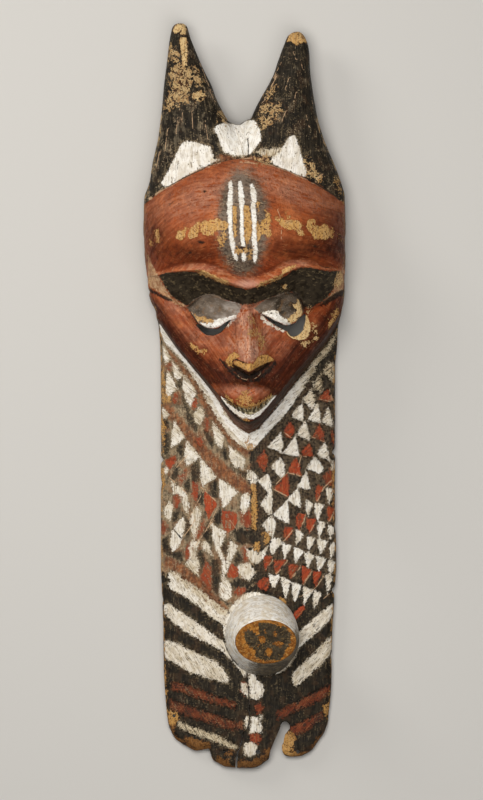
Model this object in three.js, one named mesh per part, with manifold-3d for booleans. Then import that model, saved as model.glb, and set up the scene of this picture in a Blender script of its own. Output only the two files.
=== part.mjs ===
// Horned face mask with a long board beard, carved from one log.
// It lies on its back: +Z up out of the face, +Y towards the horn tips, +X to the viewer's right.
// Millimetres. The origin is under the middle of the mask, on the surface it lies on.
import * as THREE from 'three';
import { mergeGeometries, mergeVertices } from 'three/addons/utils/BufferGeometryUtils.js';
import Module from 'manifold-3d';

// ---------------------------------------------------------------- driving sizes
const FOREHEAD_RISE = 114;      // ridge of the forehead above the back
const FOREHEAD_TOP = 68;        // forehead just below its upper step
const BROW_ROOT = 97;           // forehead just above the brow lip
const BROW_LIP = 7;             // how far the brow lip stands out
const RIM = 29;                 // thickness of the rim round the face
const HAIR_LEVEL = 57;          // surface above the forehead step
const SADDLE = 31;              // height of the edge between the horns
const CHEEK = 88;               // cheek surface beside the nose
const CHIN_AXIS = 4.6;          // the face's own middle line
const NOSE_RISE = 31;           // nose tip above the cheeks
const NOSE_TOP = 110, NOSE_TIP = 27, NOSE_WING = 43;   // along Y
const NOSE_ROOT_HALF = 8, NOSE_WING_HALF = 26.5;
const LID_RISE = 7.5, LID_HALF = 32, LID_DROP = 22;
const LID_LEFT = [-35.5, 94.5], LID_RIGHT = [40, 98.5];
const MUZZLE_RISE = 8, LIP_RISE = 4.5, MOUTH_DEPTH = 6;
const BOARD_RIDGE = 25;         // board thickness on its middle ridge
const BOARD_EDGE = 14;          // board thickness near its long edges
const BOARD_RIDGE_X = 9;
const EDGE_ROUND = 7;           // width of the worn rounding along the board's edge
const HORN_MID = 31;            // height of the horns' middle line
const HORN_HALF_ROOT = 25, HORN_HALF_TIP = 8;          // half thickness
const HORN_TIP_LEFT = [-74.5, 430.3], HORN_TIP_RIGHT = [60.5, 420.5];
const BACK_FLAT_TO = 247;       // the flat back ends here along Y
const BOSS = {                  // round boss on the beard
  foot: [18.5, -275.5], footHalf: [43, 54], footLevel: 12,
  face: [24.5, -283.5], faceHalf: [36, 26], faceLevel: 73, tilt: 0.40,
};
const HOLLOW = {                // hollow behind the face
  mid: [3, 140], half: 97, up: 128, down: 160, upPower: 2.3, downPower: 1.4,
};
const COLS = 36, SADDLE_FROM = 15, SADDLE_TO = 21;     // grid columns

// ---------------------------------------------------------------- curves through stations
function curve(stations) {
  const n = stations.length;
  const t = stations.map((s) => s[0]);
  const v = stations.map((s) => s[1]);
  const m = new Array(n).fill(0);
  const slope = (i) => (v[i + 1] - v[i]) / (t[i + 1] - t[i]);
  m[0] = slope(0);
  m[n - 1] = slope(n - 2);
  for (let i = 1; i < n - 1; i += 1) {
    const a = slope(i - 1), b = slope(i);
    if (a * b <= 0) continue;
    const h0 = t[i] - t[i - 1], h1 = t[i + 1] - t[i];
    const mid = (a * h1 + b * h0) / (h0 + h1);
    m[i] = Math.sign(mid) * Math.min(Math.abs(mid), 3 * Math.min(Math.abs(a), Math.abs(b)));
  }
  return (x) => {
    if (x <= t[0]) return v[0];
    if (x >= t[n - 1]) return v[n - 1];
    let i = 0;
    while (x > t[i + 1]) i += 1;
    const h = t[i + 1] - t[i], p = (x - t[i]) / h, pp = p * p, ppp = pp * p;
    return (2 * ppp - 3 * pp + 1) * v[i] + (ppp - 2 * pp + p) * h * m[i]
      + (-2 * ppp + 3 * pp) * v[i + 1] + (ppp - pp) * h * m[i + 1];
  };
}
const lerp = THREE.MathUtils.lerp;
const clamp = THREE.MathUtils.clamp;
const step = (a, b, x) => THREE.MathUtils.smoothstep(x, Math.min(a, b), Math.max(a, b));

// outline, as [along Y, X]
const EDGE_LEFT = curve([[-369, -89.5], [-340, -92], [-259, -94], [-190, -96.5], [-5, -96.5],
  [58.5, -97.5], [82, -99.5], [97, -102.5], [110.5, -108], [128, -111], [154.5, -114], [180, -116],
  [226.5, -115.5], [243.5, -110.5], [261, -107], [278.5, -103.5], [295.5, -100], [314, -97.5]]);
const EDGE_RIGHT = curve([[-369, 97], [-340, 100], [-282.5, 101], [-236, 103.5], [-190, 106],
  [-120.5, 104.5], [30, 104.5], [58.5, 107], [82, 108.5], [97, 112], [110.5, 114], [134, 115.5],
  [180, 116], [226.5, 115.5], [243.5, 112.5], [261, 106], [278.5, 98.5], [295.5, 92], [317.5, 85]]);
const HORN_L_OUT = curve([[314, -97.5], [330.5, -95.5], [358, -93], [386, -89.5], [413.5, -86], [429.5, -82.5]]);
const HORN_L_IN = curve([[314, -17], [330.5, -26.5], [344, -33], [358, -38], [372, -45], [386, -51.4],
  [399.5, -57], [413.5, -62.5], [429.5, -67]]);
const HORN_R_OUT = curve([[317.5, 85], [330.5, 82.5], [351, 79], [379, 75.5], [399.5, 74.5], [413.5, 70], [420.5, 65.5]]);
const HORN_R_IN = curve([[317.5, 6.5], [330.5, 12], [344, 19], [358, 27], [372, 34], [386, 38.5],
  [399.5, 43.5], [413.5, 49], [420.5, 52]]);

// carved lines that cross the face from side to side, as [X, along Y]
const TOP_EDGE = curve([[-99, 314], [-51.5, 314.5], [-17, 315.5], [-7.5, 313.5], [6.5, 319.5], [41, 318], [85, 317.5]]);
const ARC = curve([[-116, 220.5], [-97.5, 235.5], [-74.5, 249], [-51.5, 261], [-28.5, 269], [-5, 273],
  [23.5, 268.5], [52.5, 258], [87.5, 242.5], [116, 221.5]]);
const RIDGE = curve([[-116, 180], [-86, 186], [-51.5, 190.5], [-5, 196], [41, 194], [87.5, 191.5], [116, 182.5]]);
const BROW_TOP = curve([[-116, 142.5], [-100, 143], [-80.5, 148.5], [-51.5, 152.5], [-28.5, 145.5],
  [3, 135.5], [23.5, 140.5], [47, 152.5], [67.5, 156.5], [93, 149], [116, 145.5]]);
const BROW_EDGE = curve([[-116, 137.5], [-99, 139], [-69, 143.5], [-55, 143.5], [-34, 135], [-11, 127],
  [5, 123], [27, 130.5], [52.5, 142.5], [66.5, 147.5], [87.5, 145.5], [109, 143], [116, 139.5]]);
const SOCKET = curve([[-116, 124.5], [-107, 124], [-97.5, 121], [-84, 113], [-66.5, 103], [-59.5, 109],
  [-51.5, 114], [-42, 116.5], [-22.5, 110.5], [5, 105.5], [29.5, 112.5], [44.5, 117], [55, 119.5],
  [62, 116.5], [67, 109.5], [69.5, 102], [77, 101], [89.5, 106.5], [103.5, 115.5], [116, 121]]);
const JAW_FOOT = curve([[-116, 106], [-109, 98], [-100, 85.5], [-80.5, 56.5], [-57, 26.5], [-34, -2.5],
  [-11, -32.5], [-1.5, -40.5], [5, -43.5], [14.5, -38.5], [35.5, -14], [58.5, 16], [81.5, 43.5],
  [93, 58.5], [108, 85.5], [116, 101.5]]);
const JAW_SET_BACK = curve([[-116, 3], [-50, 5], [-15, 9], [5, 13], [24, 12.5], [64, 10.5], [99, 8], [116, 4]]);
const BOTTOM = curve([[-90.5, -361], [-88.5, -377], [-85, -387.5], [-81.5, -394.5], [-74.5, -400.5],
  [-65.5, -406], [-56, -410.5], [-41, -408.5], [-37.5, -419], [-30.5, -424.5], [-21.5, -429], [6.5, -430.5],
  [15.5, -429], [22.5, -424.5], [32, -417.5], [41, -414], [52.5, -417.5], [64, -417], [71, -414],
  [78, -409.5], [86, -398], [93, -387.5], [96.5, -377], [99, -365.5]]);
const jawTop = (x) => JAW_FOOT(x) + JAW_SET_BACK(x);

// levels, as [station, height]
const FOREHEAD_PROFILE = curve([[0, FOREHEAD_TOP], [0.15, 83], [0.33, 100], [0.48, 110], [0.62, FOREHEAD_RISE],
  [0.76, 112], [0.9, 104.5], [1, BROW_ROOT]]);
const SOCKET_LEVEL = curve([[-116, 30], [-107, 42], [-96, 55], [-82, 61], [-66, 63], [-51, 69], [-40, 71],
  [-22, 74], [-5, 80], [5, 83], [15, 80], [31, 74], [47, 71], [62, 68], [70, 64], [77, 63], [90, 59], [104, 50], [116, 30]]);
const JAW_LEVEL = curve([[-116, 30], [-109, 40], [-98, 54], [-85, 62], [-60, 70], [-34, 78], [-10, 86],
  [5, 88], [24, 85], [46, 78], [72, 70], [95, 60], [108, 52], [116, 30]]);
const BOARD_FALL = curve([[-430, 0.62], [-400, 0.72], [-330, 0.92], [-280, 1], [120, 1]]);

// ---------------------------------------------------------------- the carved front
const outlineAcross = (x, y) => {
  const a = EDGE_LEFT(y), b = EDGE_RIGHT(y);
  return clamp((2 * x - a - b) / (b - a), -1, 1);
};
const round = (s, p, q) => (1 - Math.min(1, Math.abs(s)) ** p) ** q;

function forehead(x, y) {
  const s = outlineAcross(x, y);
  const top = ARC(x), ridge = RIDGE(x), low = BROW_TOP(x);
  const t = y > ridge ? 0.62 * (top - y) / (top - ridge) : 0.62 + 0.38 * (ridge - y) / (ridge - low);
  let z = RIM + (FOREHEAD_PROFILE(clamp(t, 0, 1)) - RIM) * round(s, 2.7, 0.52);
  const edge = BROW_EDGE(x);
  if (y < low + 6) {                                   // groove, then the lip that runs over both eyes
    const w = (low - y) / Math.max(low - edge, 3);
    z -= 2.2 * Math.exp(-(((y - low - 1.5) / 3) ** 2)) * round(s, 6, 1);
    if (w > 0) z += BROW_LIP * Math.sin(Math.min(w, 1) * Math.PI * 0.62) * round(s, 8, 1);
  }
  return z;
}

const hornHalf = (y) => lerp(HORN_HALF_ROOT, HORN_HALF_TIP, clamp((y - 314) / 112, 0, 1));
function hornLevel(x, y, a, b) {                       // front of a horn between its two edges
  const s = clamp((2 * x - a - b) / (b - a), -1, 1);
  return HORN_MID + 1 + hornHalf(y) * round(s, 2.3, 0.5);
}
function hair(x, y) {                                  // surface above the forehead step
  const s = outlineAcross(x, y);
  const down = Math.max(0, TOP_EDGE(x) - y);
  const saddle = SADDLE + (HAIR_LEVEL - 3 - SADDLE) * (1 - Math.exp(-down / 15));
  const left = hornLevel(x, y, EDGE_LEFT(y), -17 + down * 0.9);
  const right = hornLevel(x, y, 6.5 - down * 0.8, EDGE_RIGHT(y));
  const dome = RIM + 2 + (HAIR_LEVEL - RIM) * round(s, 3.2, 0.5);
  const lobes = Math.max(saddle * (Math.abs(s) < 0.9 ? 1 : 0), x < -17 + down * 0.9 ? left : 0, x > 6.5 - down * 0.8 ? right : 0);
  return lerp(Math.max(lobes, SADDLE), dome, step(8, 46, down));
}

function cheekBase(x, y) {
  const s = (x - CHIN_AXIS) / 112;
  const rim = round(outlineAcross(x, y), 9, 0.5);
  const z = CHEEK - 31 * Math.abs(s) ** 2.1;
  return y > 84 ? lerp(z, RIM + 1 + (z - RIM - 1) * rim, step(84, 96, y)) : z;
}
function ellipse(x, y, c, a, b) {
  return ((x - c[0]) / a) ** 2 + ((y - c[1]) / b) ** 2;
}
const LIP_TOP = curve([[-30, 5], [-19, 13], [-8, 16], [1, 15.5], [6, 11], [15.5, 13], [36, 8], [42, 4]]);
const LIP_EDGE = curve([[-29, -1], [-19, -6], [-8.5, -11.5], [3, -13.5], [13.5, -12], [24, -6.5], [36.5, 2]]);
const LOWER_IN = curve([[-27, -1.5], [-17, -9.5], [-8.5, -16.5], [3, -21.5], [13.5, -18], [22.5, -9.5], [33, -0.5]]);

function face(x, y) {
  const top = SOCKET(x), foot = jawTop(x);
  const down = Math.max(0, top - y);
  let z = cheekBase(x, y);
  z += (SOCKET_LEVEL(x) - cheekBase(x, top)) * Math.exp(-down / 7);
  // heavy lids over slit eyes
  for (const [c, slit, half] of [[LID_LEFT, -1, LID_HALF], [LID_RIGHT, 1, 29.5]]) {
    const r = ellipse(x, y, c, half, LID_DROP);
    const slitY = slit < 0 ? 78.5 + 0.0045 * (x + 38) ** 2 : 92 - (x - 24) * 0.42;
    if (r < 1) z += LID_RISE * Math.sqrt(1 - r) * step(slitY - 3, slitY + 1, y);
    // soft rim under the slit
    z -= 1.2 * Math.exp(-(((y - slitY + 3) / 4) ** 2)) * (r < 1 ? 1 : 0);
  }
  // muzzle
  const m = ellipse(x, y, [CHIN_AXIS, -6], 44, 32);
  if (m < 1) z += MUZZLE_RISE * (1 - m) ** 1.2;
  // nose: a straight wedge that ends in a lower edge shaped like a wide V
  const along = clamp((NOSE_TOP - y) / (NOSE_TOP - NOSE_WING), 0, 1.3);
  const half = lerp(NOSE_ROOT_HALF, NOSE_WING_HALF, Math.min(1, along) ** 1.35);
  const ridgeX = lerp(3.5, 5.4, Math.min(1, along));
  const d = Math.abs(x - ridgeX) / half;
  const crest = 1.04 - Math.sqrt(d * d + 0.0036);
  const lower = NOSE_TIP + 0.57 * Math.abs(x - 5.2);
  if (crest > 0 && y < NOSE_TOP + 4) {
    const rise = NOSE_RISE * (0.1 + 0.9 * along ** 0.9) * step(NOSE_TOP + 4, NOSE_TOP - 4, NOSE_TOP + 4 - (y - (NOSE_TOP - 4)));
    z += Math.min(rise, NOSE_RISE) * crest * step(lower - 5, lower + 0.5, y);
  }
  // mouth
  const lt = LIP_TOP(x), le = LIP_EDGE(x), li = LOWER_IN(x), lo = foot + 2;
  if (x > -30 && x < 42) {
    const fade = step(-30, -24, x) * (1 - step(34, 42, x));
    if (y > le) z += fade * LIP_RISE * step(lt + 3, lt - 4, lt + 3 - (y - (lt - 4))) * step(-40, -20, x);
    if (y <= le && y >= li) z -= fade * MOUTH_DEPTH;
    if (y < li && y > lo - 3) z += fade * 2.5;
  }
  // the cheek rolls over into the jaw
  const t = clamp(down / Math.max(top - foot, 4), 0, 1);
  z = lerp(z, JAW_LEVEL(x), t ** 7);
  return z;
}

function board(x, y) {
  const a = EDGE_LEFT(y), b = EDGE_RIGHT(y);
  const off = x < BOARD_RIDGE_X ? (BOARD_RIDGE_X - x) / (BOARD_RIDGE_X - a) : (x - BOARD_RIDGE_X) / (b - BOARD_RIDGE_X);
  const roof = lerp(BOARD_RIDGE, BOARD_EDGE, clamp(off, 0, 1) ** 1.25);
  const inset = Math.max(0, Math.min(x - a, b - x, (y - BOTTOM(x)) * 0.9));
  const worn = inset < EDGE_ROUND ? 5 * (1 - inset / EDGE_ROUND) ** 2 : 0;
  return roof * BOARD_FALL(y) - worn;
}

function front(x, y) {
  if (y > ARC(x)) return hair(x, y);
  const edge = BROW_EDGE(x), socket = SOCKET(x);
  if (y >= edge) return forehead(x, y);
  if (y > socket) {                                    // steep shadowed band under the brow
    const t = (edge - y) / Math.max(edge - socket, 2);
    return lerp(forehead(x, edge) - 3 * round(outlineAcross(x, y), 8, 1), face(x, socket), clamp(t, 0, 1) ** 0.75);
  }
  const top = jawTop(x), foot = JAW_FOOT(x);
  if (y >= top) return face(x, y);
  if (y > foot) {                                      // wall from the jaw down to the board
    const t = (y - foot) / (top - foot);
    return lerp(board(x, foot), face(x, top), t ** 1.25);
  }
  return board(x, y);
}

// the back is flat, and lifts off the floor towards the horns
function back(x, y) {
  const s = outlineAcross(x, y);
  const up = clamp((y - BACK_FLAT_TO) / (316 - BACK_FLAT_TO), 0, 1);
  const middle = Math.exp(-(((x + 5) / 16) ** 2));
  const root = HORN_MID - 1 - HORN_HALF_ROOT * round(s, 2.6, 0.5) * (1 - 0.55 * middle);
  return root * up ** 1.6;
}

// ---------------------------------------------------------------- grid rows that follow the carved lines
const KEY_LINES = [
  { at: BOTTOM, rows: 5 },
  { at: () => -351.7, rows: 11, grow: 0.8 },
  { at: JAW_FOOT, rows: 2 },
  { at: jawTop, rows: 21 },
  { at: SOCKET, rows: 3 },
  { at: BROW_EDGE, rows: 2 },
  { at: BROW_TOP, rows: 4 },
  { at: RIDGE, rows: 7 },
  { at: (x) => ARC(x) - 0.9, rows: 1 },
  { at: (x) => ARC(x) + 0.9, rows: 4 },
  { at: TOP_EDGE, rows: 0 },
];
function across(i, lift) {                             // column position, -1 to 1
  const c = (2 * i) / COLS - 1;
  const even = c - 0.07 * Math.sin(Math.PI * c);
  const from = -0.11, to = 0.14;
  let horns;
  if (i <= SADDLE_FROM) horns = lerp(-1, from, i / SADDLE_FROM);
  else if (i >= SADDLE_TO) horns = lerp(to, 1, (i - SADDLE_TO) / (COLS - SADDLE_TO));
  else horns = lerp(from, to, (i - SADDLE_FROM) / (SADDLE_TO - SADDLE_FROM));
  return lerp(even, horns, lift);
}
const spot = (a, y) => lerp(EDGE_LEFT(y), EDGE_RIGHT(y), (a + 1) / 2);
function settle(line, a) {                             // where a column meets a carved line
  let y = line(spot(a, 0));
  for (let k = 0; k < 12; k += 1) y = lerp(y, line(spot(a, y)), 0.8);
  return y;
}
const plan = [];                                       // plan[row][column] = [x, y]
for (let k = 0; k < KEY_LINES.length; k += 1) {
  const n = KEY_LINES[k].rows || 1;
  for (let j = 0; j < n; j += 1) {
    const row = [];
    for (let i = 0; i <= COLS; i += 1) {
      const liftHere = k < 9 ? 0 : step(0, 1, k === 10 ? 1 : j / n);
      const a = across(i, liftHere);
      const lo = settle(KEY_LINES[k].at, a);
      const hi = k + 1 < KEY_LINES.length ? settle(KEY_LINES[k + 1].at, a) : lo;
      const w = (j / n) ** (KEY_LINES[k].grow || 1);
      const y = lerp(lo, hi, w);
      row.push([spot(a, y), y]);
    }
    plan.push(row);
  }
}
const ROWS = plan.length - 1;
const FLAT_ROW = plan.findIndex((row) => Math.min(...row.map((p) => p[1])) > BACK_FLAT_TO - 26 && row[0][1] > ARC(row[0][0]));

// ---------------------------------------------------------------- sheets sewn into one skin
function sheet(cols, rows, place, flip = false) {      // a plane displaced by a function of column and row
  const g = new THREE.PlaneGeometry(1, 1, cols, rows);
  const p = g.attributes.position;
  for (let k = 0; k < p.count; k += 1) {
    const i = k % (cols + 1), j = rows - Math.floor(k / (cols + 1));
    p.setXYZ(k, ...place(i, j));
  }
  if (flip) g.index.array.reverse();
  g.deleteAttribute('normal');
  g.deleteAttribute('uv');
  return g;
}
const frontPoint = (i, j) => {
  const [x, y] = plan[j][i];
  return [x, y, Math.max(front(x, y), back(x, y) + 2)];
};
const backPoint = (i, j) => {
  const [x, y] = plan[j][i];
  return [x, y, j <= FLAT_ROW ? 0 : back(x, y)];
};
const skins = [
  sheet(COLS, ROWS, frontPoint),
  sheet(COLS, ROWS - FLAT_ROW, (i, j) => backPoint(i, j + FLAT_ROW), true),
  sheet(ROWS, 1, (j, e) => (e ? frontPoint(0, j) : backPoint(0, j)), true),
  sheet(ROWS, 1, (j, e) => (e ? frontPoint(COLS, j) : backPoint(COLS, j))),
  sheet(COLS, 1, (i, e) => (e ? frontPoint(i, 0) : backPoint(i, 0))),
  sheet(SADDLE_TO - SADDLE_FROM, 1,
    (i, e) => (e ? frontPoint(i + SADDLE_FROM, ROWS) : backPoint(i + SADDLE_FROM, ROWS)), true),
];

// horns: the grid runs on up each one, round in section, to a blunt tip
const HORN_ROWS = 9;
function horn(first, last, outer, inner, tip, leftward) {
  const root = plan[ROWS].slice(first, last + 1);
  const n = last - first;
  const where = (i, j) => {
    const w = j / HORN_ROWS;
    const rootY = root[i][1];
    const rise = 1 - (1 - w) ** 1.25;
    const y = lerp(rootY, tip[1] - 0.2, rise);
    const a = leftward ? outer(y) : inner(y), b = leftward ? inner(y) : outer(y);
    const near = clamp((tip[1] - y) / 7, 0, 1);
    const cap = (1 - (1 - near) ** 2.5) ** 0.4;
    const mid = lerp(tip[0], (a + b) / 2, near);
    const f = i / n;
    const x = j === 0 ? root[i][0] : mid + (f - 0.5) * (b - a) * cap;
    return { x, y, s: 2 * f - 1, cap };
  };
  const level = (i, j, side) => {
    const q = where(i, j);
    if (j === 0) return side > 0 ? frontPoint(first + i, ROWS) : backPoint(first + i, ROWS);
    const blend = step(0, 3, j);
    const z0 = side > 0 ? frontPoint(first + i, ROWS)[2] : backPoint(first + i, ROWS)[2];
    const z1 = HORN_MID + side * (1 + hornHalf(q.y) * round(q.s, 2.3, 0.5) * q.cap);
    return [q.x, q.y, lerp(z0, z1, Math.max(blend, 0.35))];
  };
  return [
    sheet(n, HORN_ROWS, (i, j) => level(i, j, 1)),
    sheet(n, HORN_ROWS, (i, j) => level(i, j, -1), true),
    sheet(HORN_ROWS, 1, (j, e) => level(0, j, e ? 1 : -1), true),
    sheet(HORN_ROWS, 1, (j, e) => level(n, j, e ? 1 : -1)),
    sheet(n, 1, (i, e) => level(i, HORN_ROWS, e ? 1 : -1), true),
  ];
}
skins.push(...horn(0, SADDLE_FROM, HORN_L_OUT, HORN_L_IN, HORN_TIP_LEFT, true));
skins.push(...horn(SADDLE_TO, COLS, HORN_R_OUT, HORN_R_IN, HORN_TIP_RIGHT, false));

// flat back, filled from its own outline
const loop = [];
for (let i = 0; i <= COLS; i += 1) loop.push(backPoint(i, 0));
for (let j = 1; j <= FLAT_ROW; j += 1) loop.push(backPoint(COLS, j));
for (let i = COLS - 1; i >= 0; i -= 1) loop.push(backPoint(i, FLAT_ROW));
for (let j = FLAT_ROW - 1; j >= 1; j -= 1) loop.push(backPoint(0, j));
const flat = new THREE.BufferGeometry();
flat.setAttribute('position', new THREE.BufferAttribute(new Float32Array(loop.flat()), 3));
flat.setIndex(THREE.ShapeUtils.triangulateShape(loop.map((p) => new THREE.Vector2(p[0], p[1])), [])
  .flatMap((f) => [f[0], f[2], f[1]]));
skins.push(flat);

// ---------------------------------------------------------------- joining and cutting
const wasm = await Module();
wasm.setup();
function solid(geometry) {
  const g = geometry.index ? geometry.clone() : mergeVertices(geometry);
  g.deleteAttribute('normal');
  g.deleteAttribute('uv');
  const m = mergeVertices(g, 1e-3);
  const triVerts = [];
  const ix = m.index.array;
  for (let k = 0; k < ix.length; k += 3) {
    if (ix[k] !== ix[k + 1] && ix[k + 1] !== ix[k + 2] && ix[k] !== ix[k + 2]) triVerts.push(ix[k], ix[k + 1], ix[k + 2]);
  }
  return new wasm.Manifold(new wasm.Mesh({
    numProp: 3, vertProperties: new Float32Array(m.attributes.position.array), triVerts: new Uint32Array(triVerts),
  }));
}
let mask = solid(mergeGeometries(skins));

// boss: an oval cone that leans, with a flat end turned a little downward
{
  const SEG = 30, RINGS = 6;
  const profile = [new THREE.Vector2(0, 0)];
  for (let r = 0; r <= RINGS; r += 1) profile.push(new THREE.Vector2(1, r / RINGS));
  profile.push(new THREE.Vector2(0, 1));
  const g = new THREE.LatheGeometry(profile, SEG);
  const p = g.attributes.position;
  for (let k = 0; k < p.count; k += 1) {
    const cx = p.getX(k), cy = -p.getZ(k), t = p.getY(k), w = t ** 0.72;
    const hx = lerp(BOSS.footHalf[0], BOSS.faceHalf[0], w) + 2.5 * Math.sin(Math.PI * t);
    const hy = lerp(BOSS.footHalf[1], BOSS.faceHalf[1], w) + 2.5 * Math.sin(Math.PI * t);
    const y = cy * hy;
    p.setXYZ(k, lerp(BOSS.foot[0], BOSS.face[0], w) + cx * hx, lerp(BOSS.foot[1], BOSS.face[1], w) + y,
      lerp(BOSS.footLevel, BOSS.faceLevel + y * Math.tan(BOSS.tilt), t));
  }
  mask = mask.add(solid(g));
}

// hollow behind the face, a smooth bowl open at the back
const HOLLOW_ROOF = curve([[-20, 52], [0, 64], [30, 71], [60, 73], [82, 75], [104, 67], [118, 63], [132, 76],
  [150, 85.5], [166, 95], [190, 101], [230, 99], [268, 68]]);
{
  const RINGS = 11, SEG = 34;
  const profile = [new THREE.Vector2(0, 1)];
  for (let r = 1; r <= RINGS; r += 1) profile.push(new THREE.Vector2((r / RINGS) ** 0.8, 1));
  profile.push(new THREE.Vector2(1.0001, 0), new THREE.Vector2(0, 0));
  const g = new THREE.LatheGeometry(profile.reverse(), SEG);
  const p = g.attributes.position;
  for (let k = 0; k < p.count; k += 1) {
    const r = Math.hypot(p.getX(k), p.getZ(k)), th = Math.atan2(-p.getZ(k), p.getX(k));
    const c = Math.cos(th), s = Math.sin(th);
    const e = s > 0 ? HOLLOW.upPower : HOLLOW.downPower, b = s > 0 ? HOLLOW.up : HOLLOW.down;
    const reach = (Math.abs(c / HOLLOW.half) ** e + Math.abs(s / b) ** e) ** (-1 / e);
    const x = HOLLOW.mid[0] + r * reach * c, y = HOLLOW.mid[1] + r * reach * s;
    const dome = (1 - Math.min(r, 1) ** 4) ** 0.5;
    p.setXYZ(k, x, y, p.getY(k) > 0.5 ? HOLLOW_ROOF(y) * dome - 1.5 : -6);
  }
  mask = mask.subtract(solid(g));
}

// openings cut straight down through the wall: eye slits, the broken eye corner, the notch in the
// lower edge and the small holes along it
function cut(points, from, to, smooth = true) {
  const shape = new THREE.Shape();
  shape.moveTo(...points[0]);
  if (smooth) shape.splineThru(points.slice(1).map((q) => new THREE.Vector2(...q)));
  else points.slice(1).forEach((q) => shape.lineTo(...q));
  shape.closePath();
  const g = new THREE.ExtrudeGeometry(shape, { depth: to - from, bevelEnabled: false, curveSegments: 10 });
  g.translate(0, 0, from);
  mask = mask.subtract(solid(g));
}
cut([[-55, 80.5], [-51.5, 82], [-45.5, 78.8], [-38, 77], [-31, 77.8], [-24, 82], [-15.5, 87.2], [-21.5, 79.5],
  [-27, 73], [-34, 70], [-43.5, 69.5], [-50, 74], [-55, 80.5]], 30, 130);
cut([[22, 92.8], [31.5, 88], [41, 83.2], [52, 79.5], [49, 74.5], [41, 77.8], [31.5, 84], [22, 92.8]], 30, 130);
cut([[49, 80.5], [54, 82], [58.5, 84], [64, 90], [70, 94.3], [70.5, 90], [67.5, 77], [64, 72], [56, 68], [50.5, 73.5],
  [49, 80.5]], 30, 130);
cut([[25, -440], [29.5, -410.5], [36.5, -395.5], [42, -380.5], [47, -377], [51.5, -380], [52.5, -386],
  [47, -393], [45, -401], [43.5, -408.5], [47, -417], [50, -440], [25, -440]], -10, 60, false);
for (const [x, y, r] of [[-81.5, -370, 2], [-23.5, -412, 1.8], [15.6, -411.8, 3], [61.8, -411.5, 2.2]]) {
  const hole = new THREE.CylinderGeometry(r, r, 80, 8);
  hole.rotateX(Math.PI / 2);
  hole.translate(x, y, 20);
  mask = mask.subtract(solid(hole));
}
// nostrils, bored up under the nose tip
for (const side of [-1, 1]) {
  const bore = new THREE.SphereGeometry(1, 12, 8);
  bore.scale(4.2, 7, 6.5);
  bore.translate(5.2 + side * 7, 23.5, 99);
  mask = mask.subtract(solid(bore));
}

// ---------------------------------------------------------------- the part
const out = mask.getMesh();
const body = new THREE.BufferGeometry();
body.setAttribute('position', new THREE.BufferAttribute(new Float32Array(out.vertProperties), 3));
body.setIndex(new THREE.BufferAttribute(new Uint32Array(out.triVerts), 1));
body.computeVertexNormals();

const wood = new THREE.MeshStandardMaterial({ color: 0x8a4a30, roughness: 0.75, metalness: 0 });
const mesh = new THREE.Mesh(body, wood);
mesh.name = 'mask';

const part = new THREE.Group();
part.name = 'mbuya_mask';
part.add(mesh);
export default part;
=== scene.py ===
import math
import bpy
import bmesh
import numpy as np
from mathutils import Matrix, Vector, geometry as mgeo


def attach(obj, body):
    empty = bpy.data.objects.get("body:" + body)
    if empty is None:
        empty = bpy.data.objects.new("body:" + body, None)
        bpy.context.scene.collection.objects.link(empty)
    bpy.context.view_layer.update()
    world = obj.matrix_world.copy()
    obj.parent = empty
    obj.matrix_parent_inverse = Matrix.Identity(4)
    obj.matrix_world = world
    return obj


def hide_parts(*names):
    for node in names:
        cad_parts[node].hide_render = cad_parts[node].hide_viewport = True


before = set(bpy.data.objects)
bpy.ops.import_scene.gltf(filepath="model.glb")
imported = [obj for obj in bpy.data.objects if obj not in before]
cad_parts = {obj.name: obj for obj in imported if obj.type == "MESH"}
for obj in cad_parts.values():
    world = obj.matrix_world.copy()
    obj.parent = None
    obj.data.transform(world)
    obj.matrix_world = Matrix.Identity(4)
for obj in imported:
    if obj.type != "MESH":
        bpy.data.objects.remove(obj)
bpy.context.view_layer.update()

# ------------------------------------------------------------------ units
# Shapes are worked out in millimetres in the frame of the solid and turned into metres at the end.
# Places on the front are given on a survey sheet: u across, v down, one step = 1.156 mm.
K = 1.156
CU, CV = 244.5, 395.75


def U(x):
    return x / K + CU


def V(y):
    return CV - y / K


def X(u):
    return (np.asarray(u, float) - CU) * K


def Y(v):
    return (CV - np.asarray(v, float)) * K


# ------------------------------------------------------------------ curves through stations
class Curve:
    def __init__(self, stations):
        s = np.array(stations, float)
        self.t, self.v = s[:, 0], s[:, 1]
        t, v, n = self.t, self.v, len(s)
        m = np.zeros(n)
        sl = (v[1:] - v[:-1]) / (t[1:] - t[:-1])
        m[0], m[-1] = sl[0], sl[-1]
        for i in range(1, n - 1):
            a, b = sl[i - 1], sl[i]
            if a * b <= 0:
                continue
            h0, h1 = t[i] - t[i - 1], t[i + 1] - t[i]
            mid = (a * h1 + b * h0) / (h0 + h1)
            m[i] = math.copysign(min(abs(mid), 3 * min(abs(a), abs(b))), mid)
        self.m = m

    def __call__(self, x):
        x = np.asarray(x, float)
        t, v, m = self.t, self.v, self.m
        xc = np.clip(x, t[0], t[-1])
        i = np.clip(np.searchsorted(t, xc, side="right") - 1, 0, len(t) - 2)
        h = t[i + 1] - t[i]
        p = (xc - t[i]) / h
        pp, ppp = p * p, p * p * p
        return ((2 * ppp - 3 * pp + 1) * v[i] + (ppp - 2 * pp + p) * h * m[i]
                + (-2 * ppp + 3 * pp) * v[i + 1] + (ppp - pp) * h * m[i + 1])


def lerp(a, b, t):
    return a + (b - a) * t


def step(a, b, x):
    t = np.clip((x - a) / (b - a), 0, 1)
    return t * t * (3 - 2 * t)


def rnd(s, p, q):
    return (1 - np.minimum(1, np.abs(s)) ** p) ** q


def bell(x, w):
    return np.exp(-(x / w) ** 2)


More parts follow.
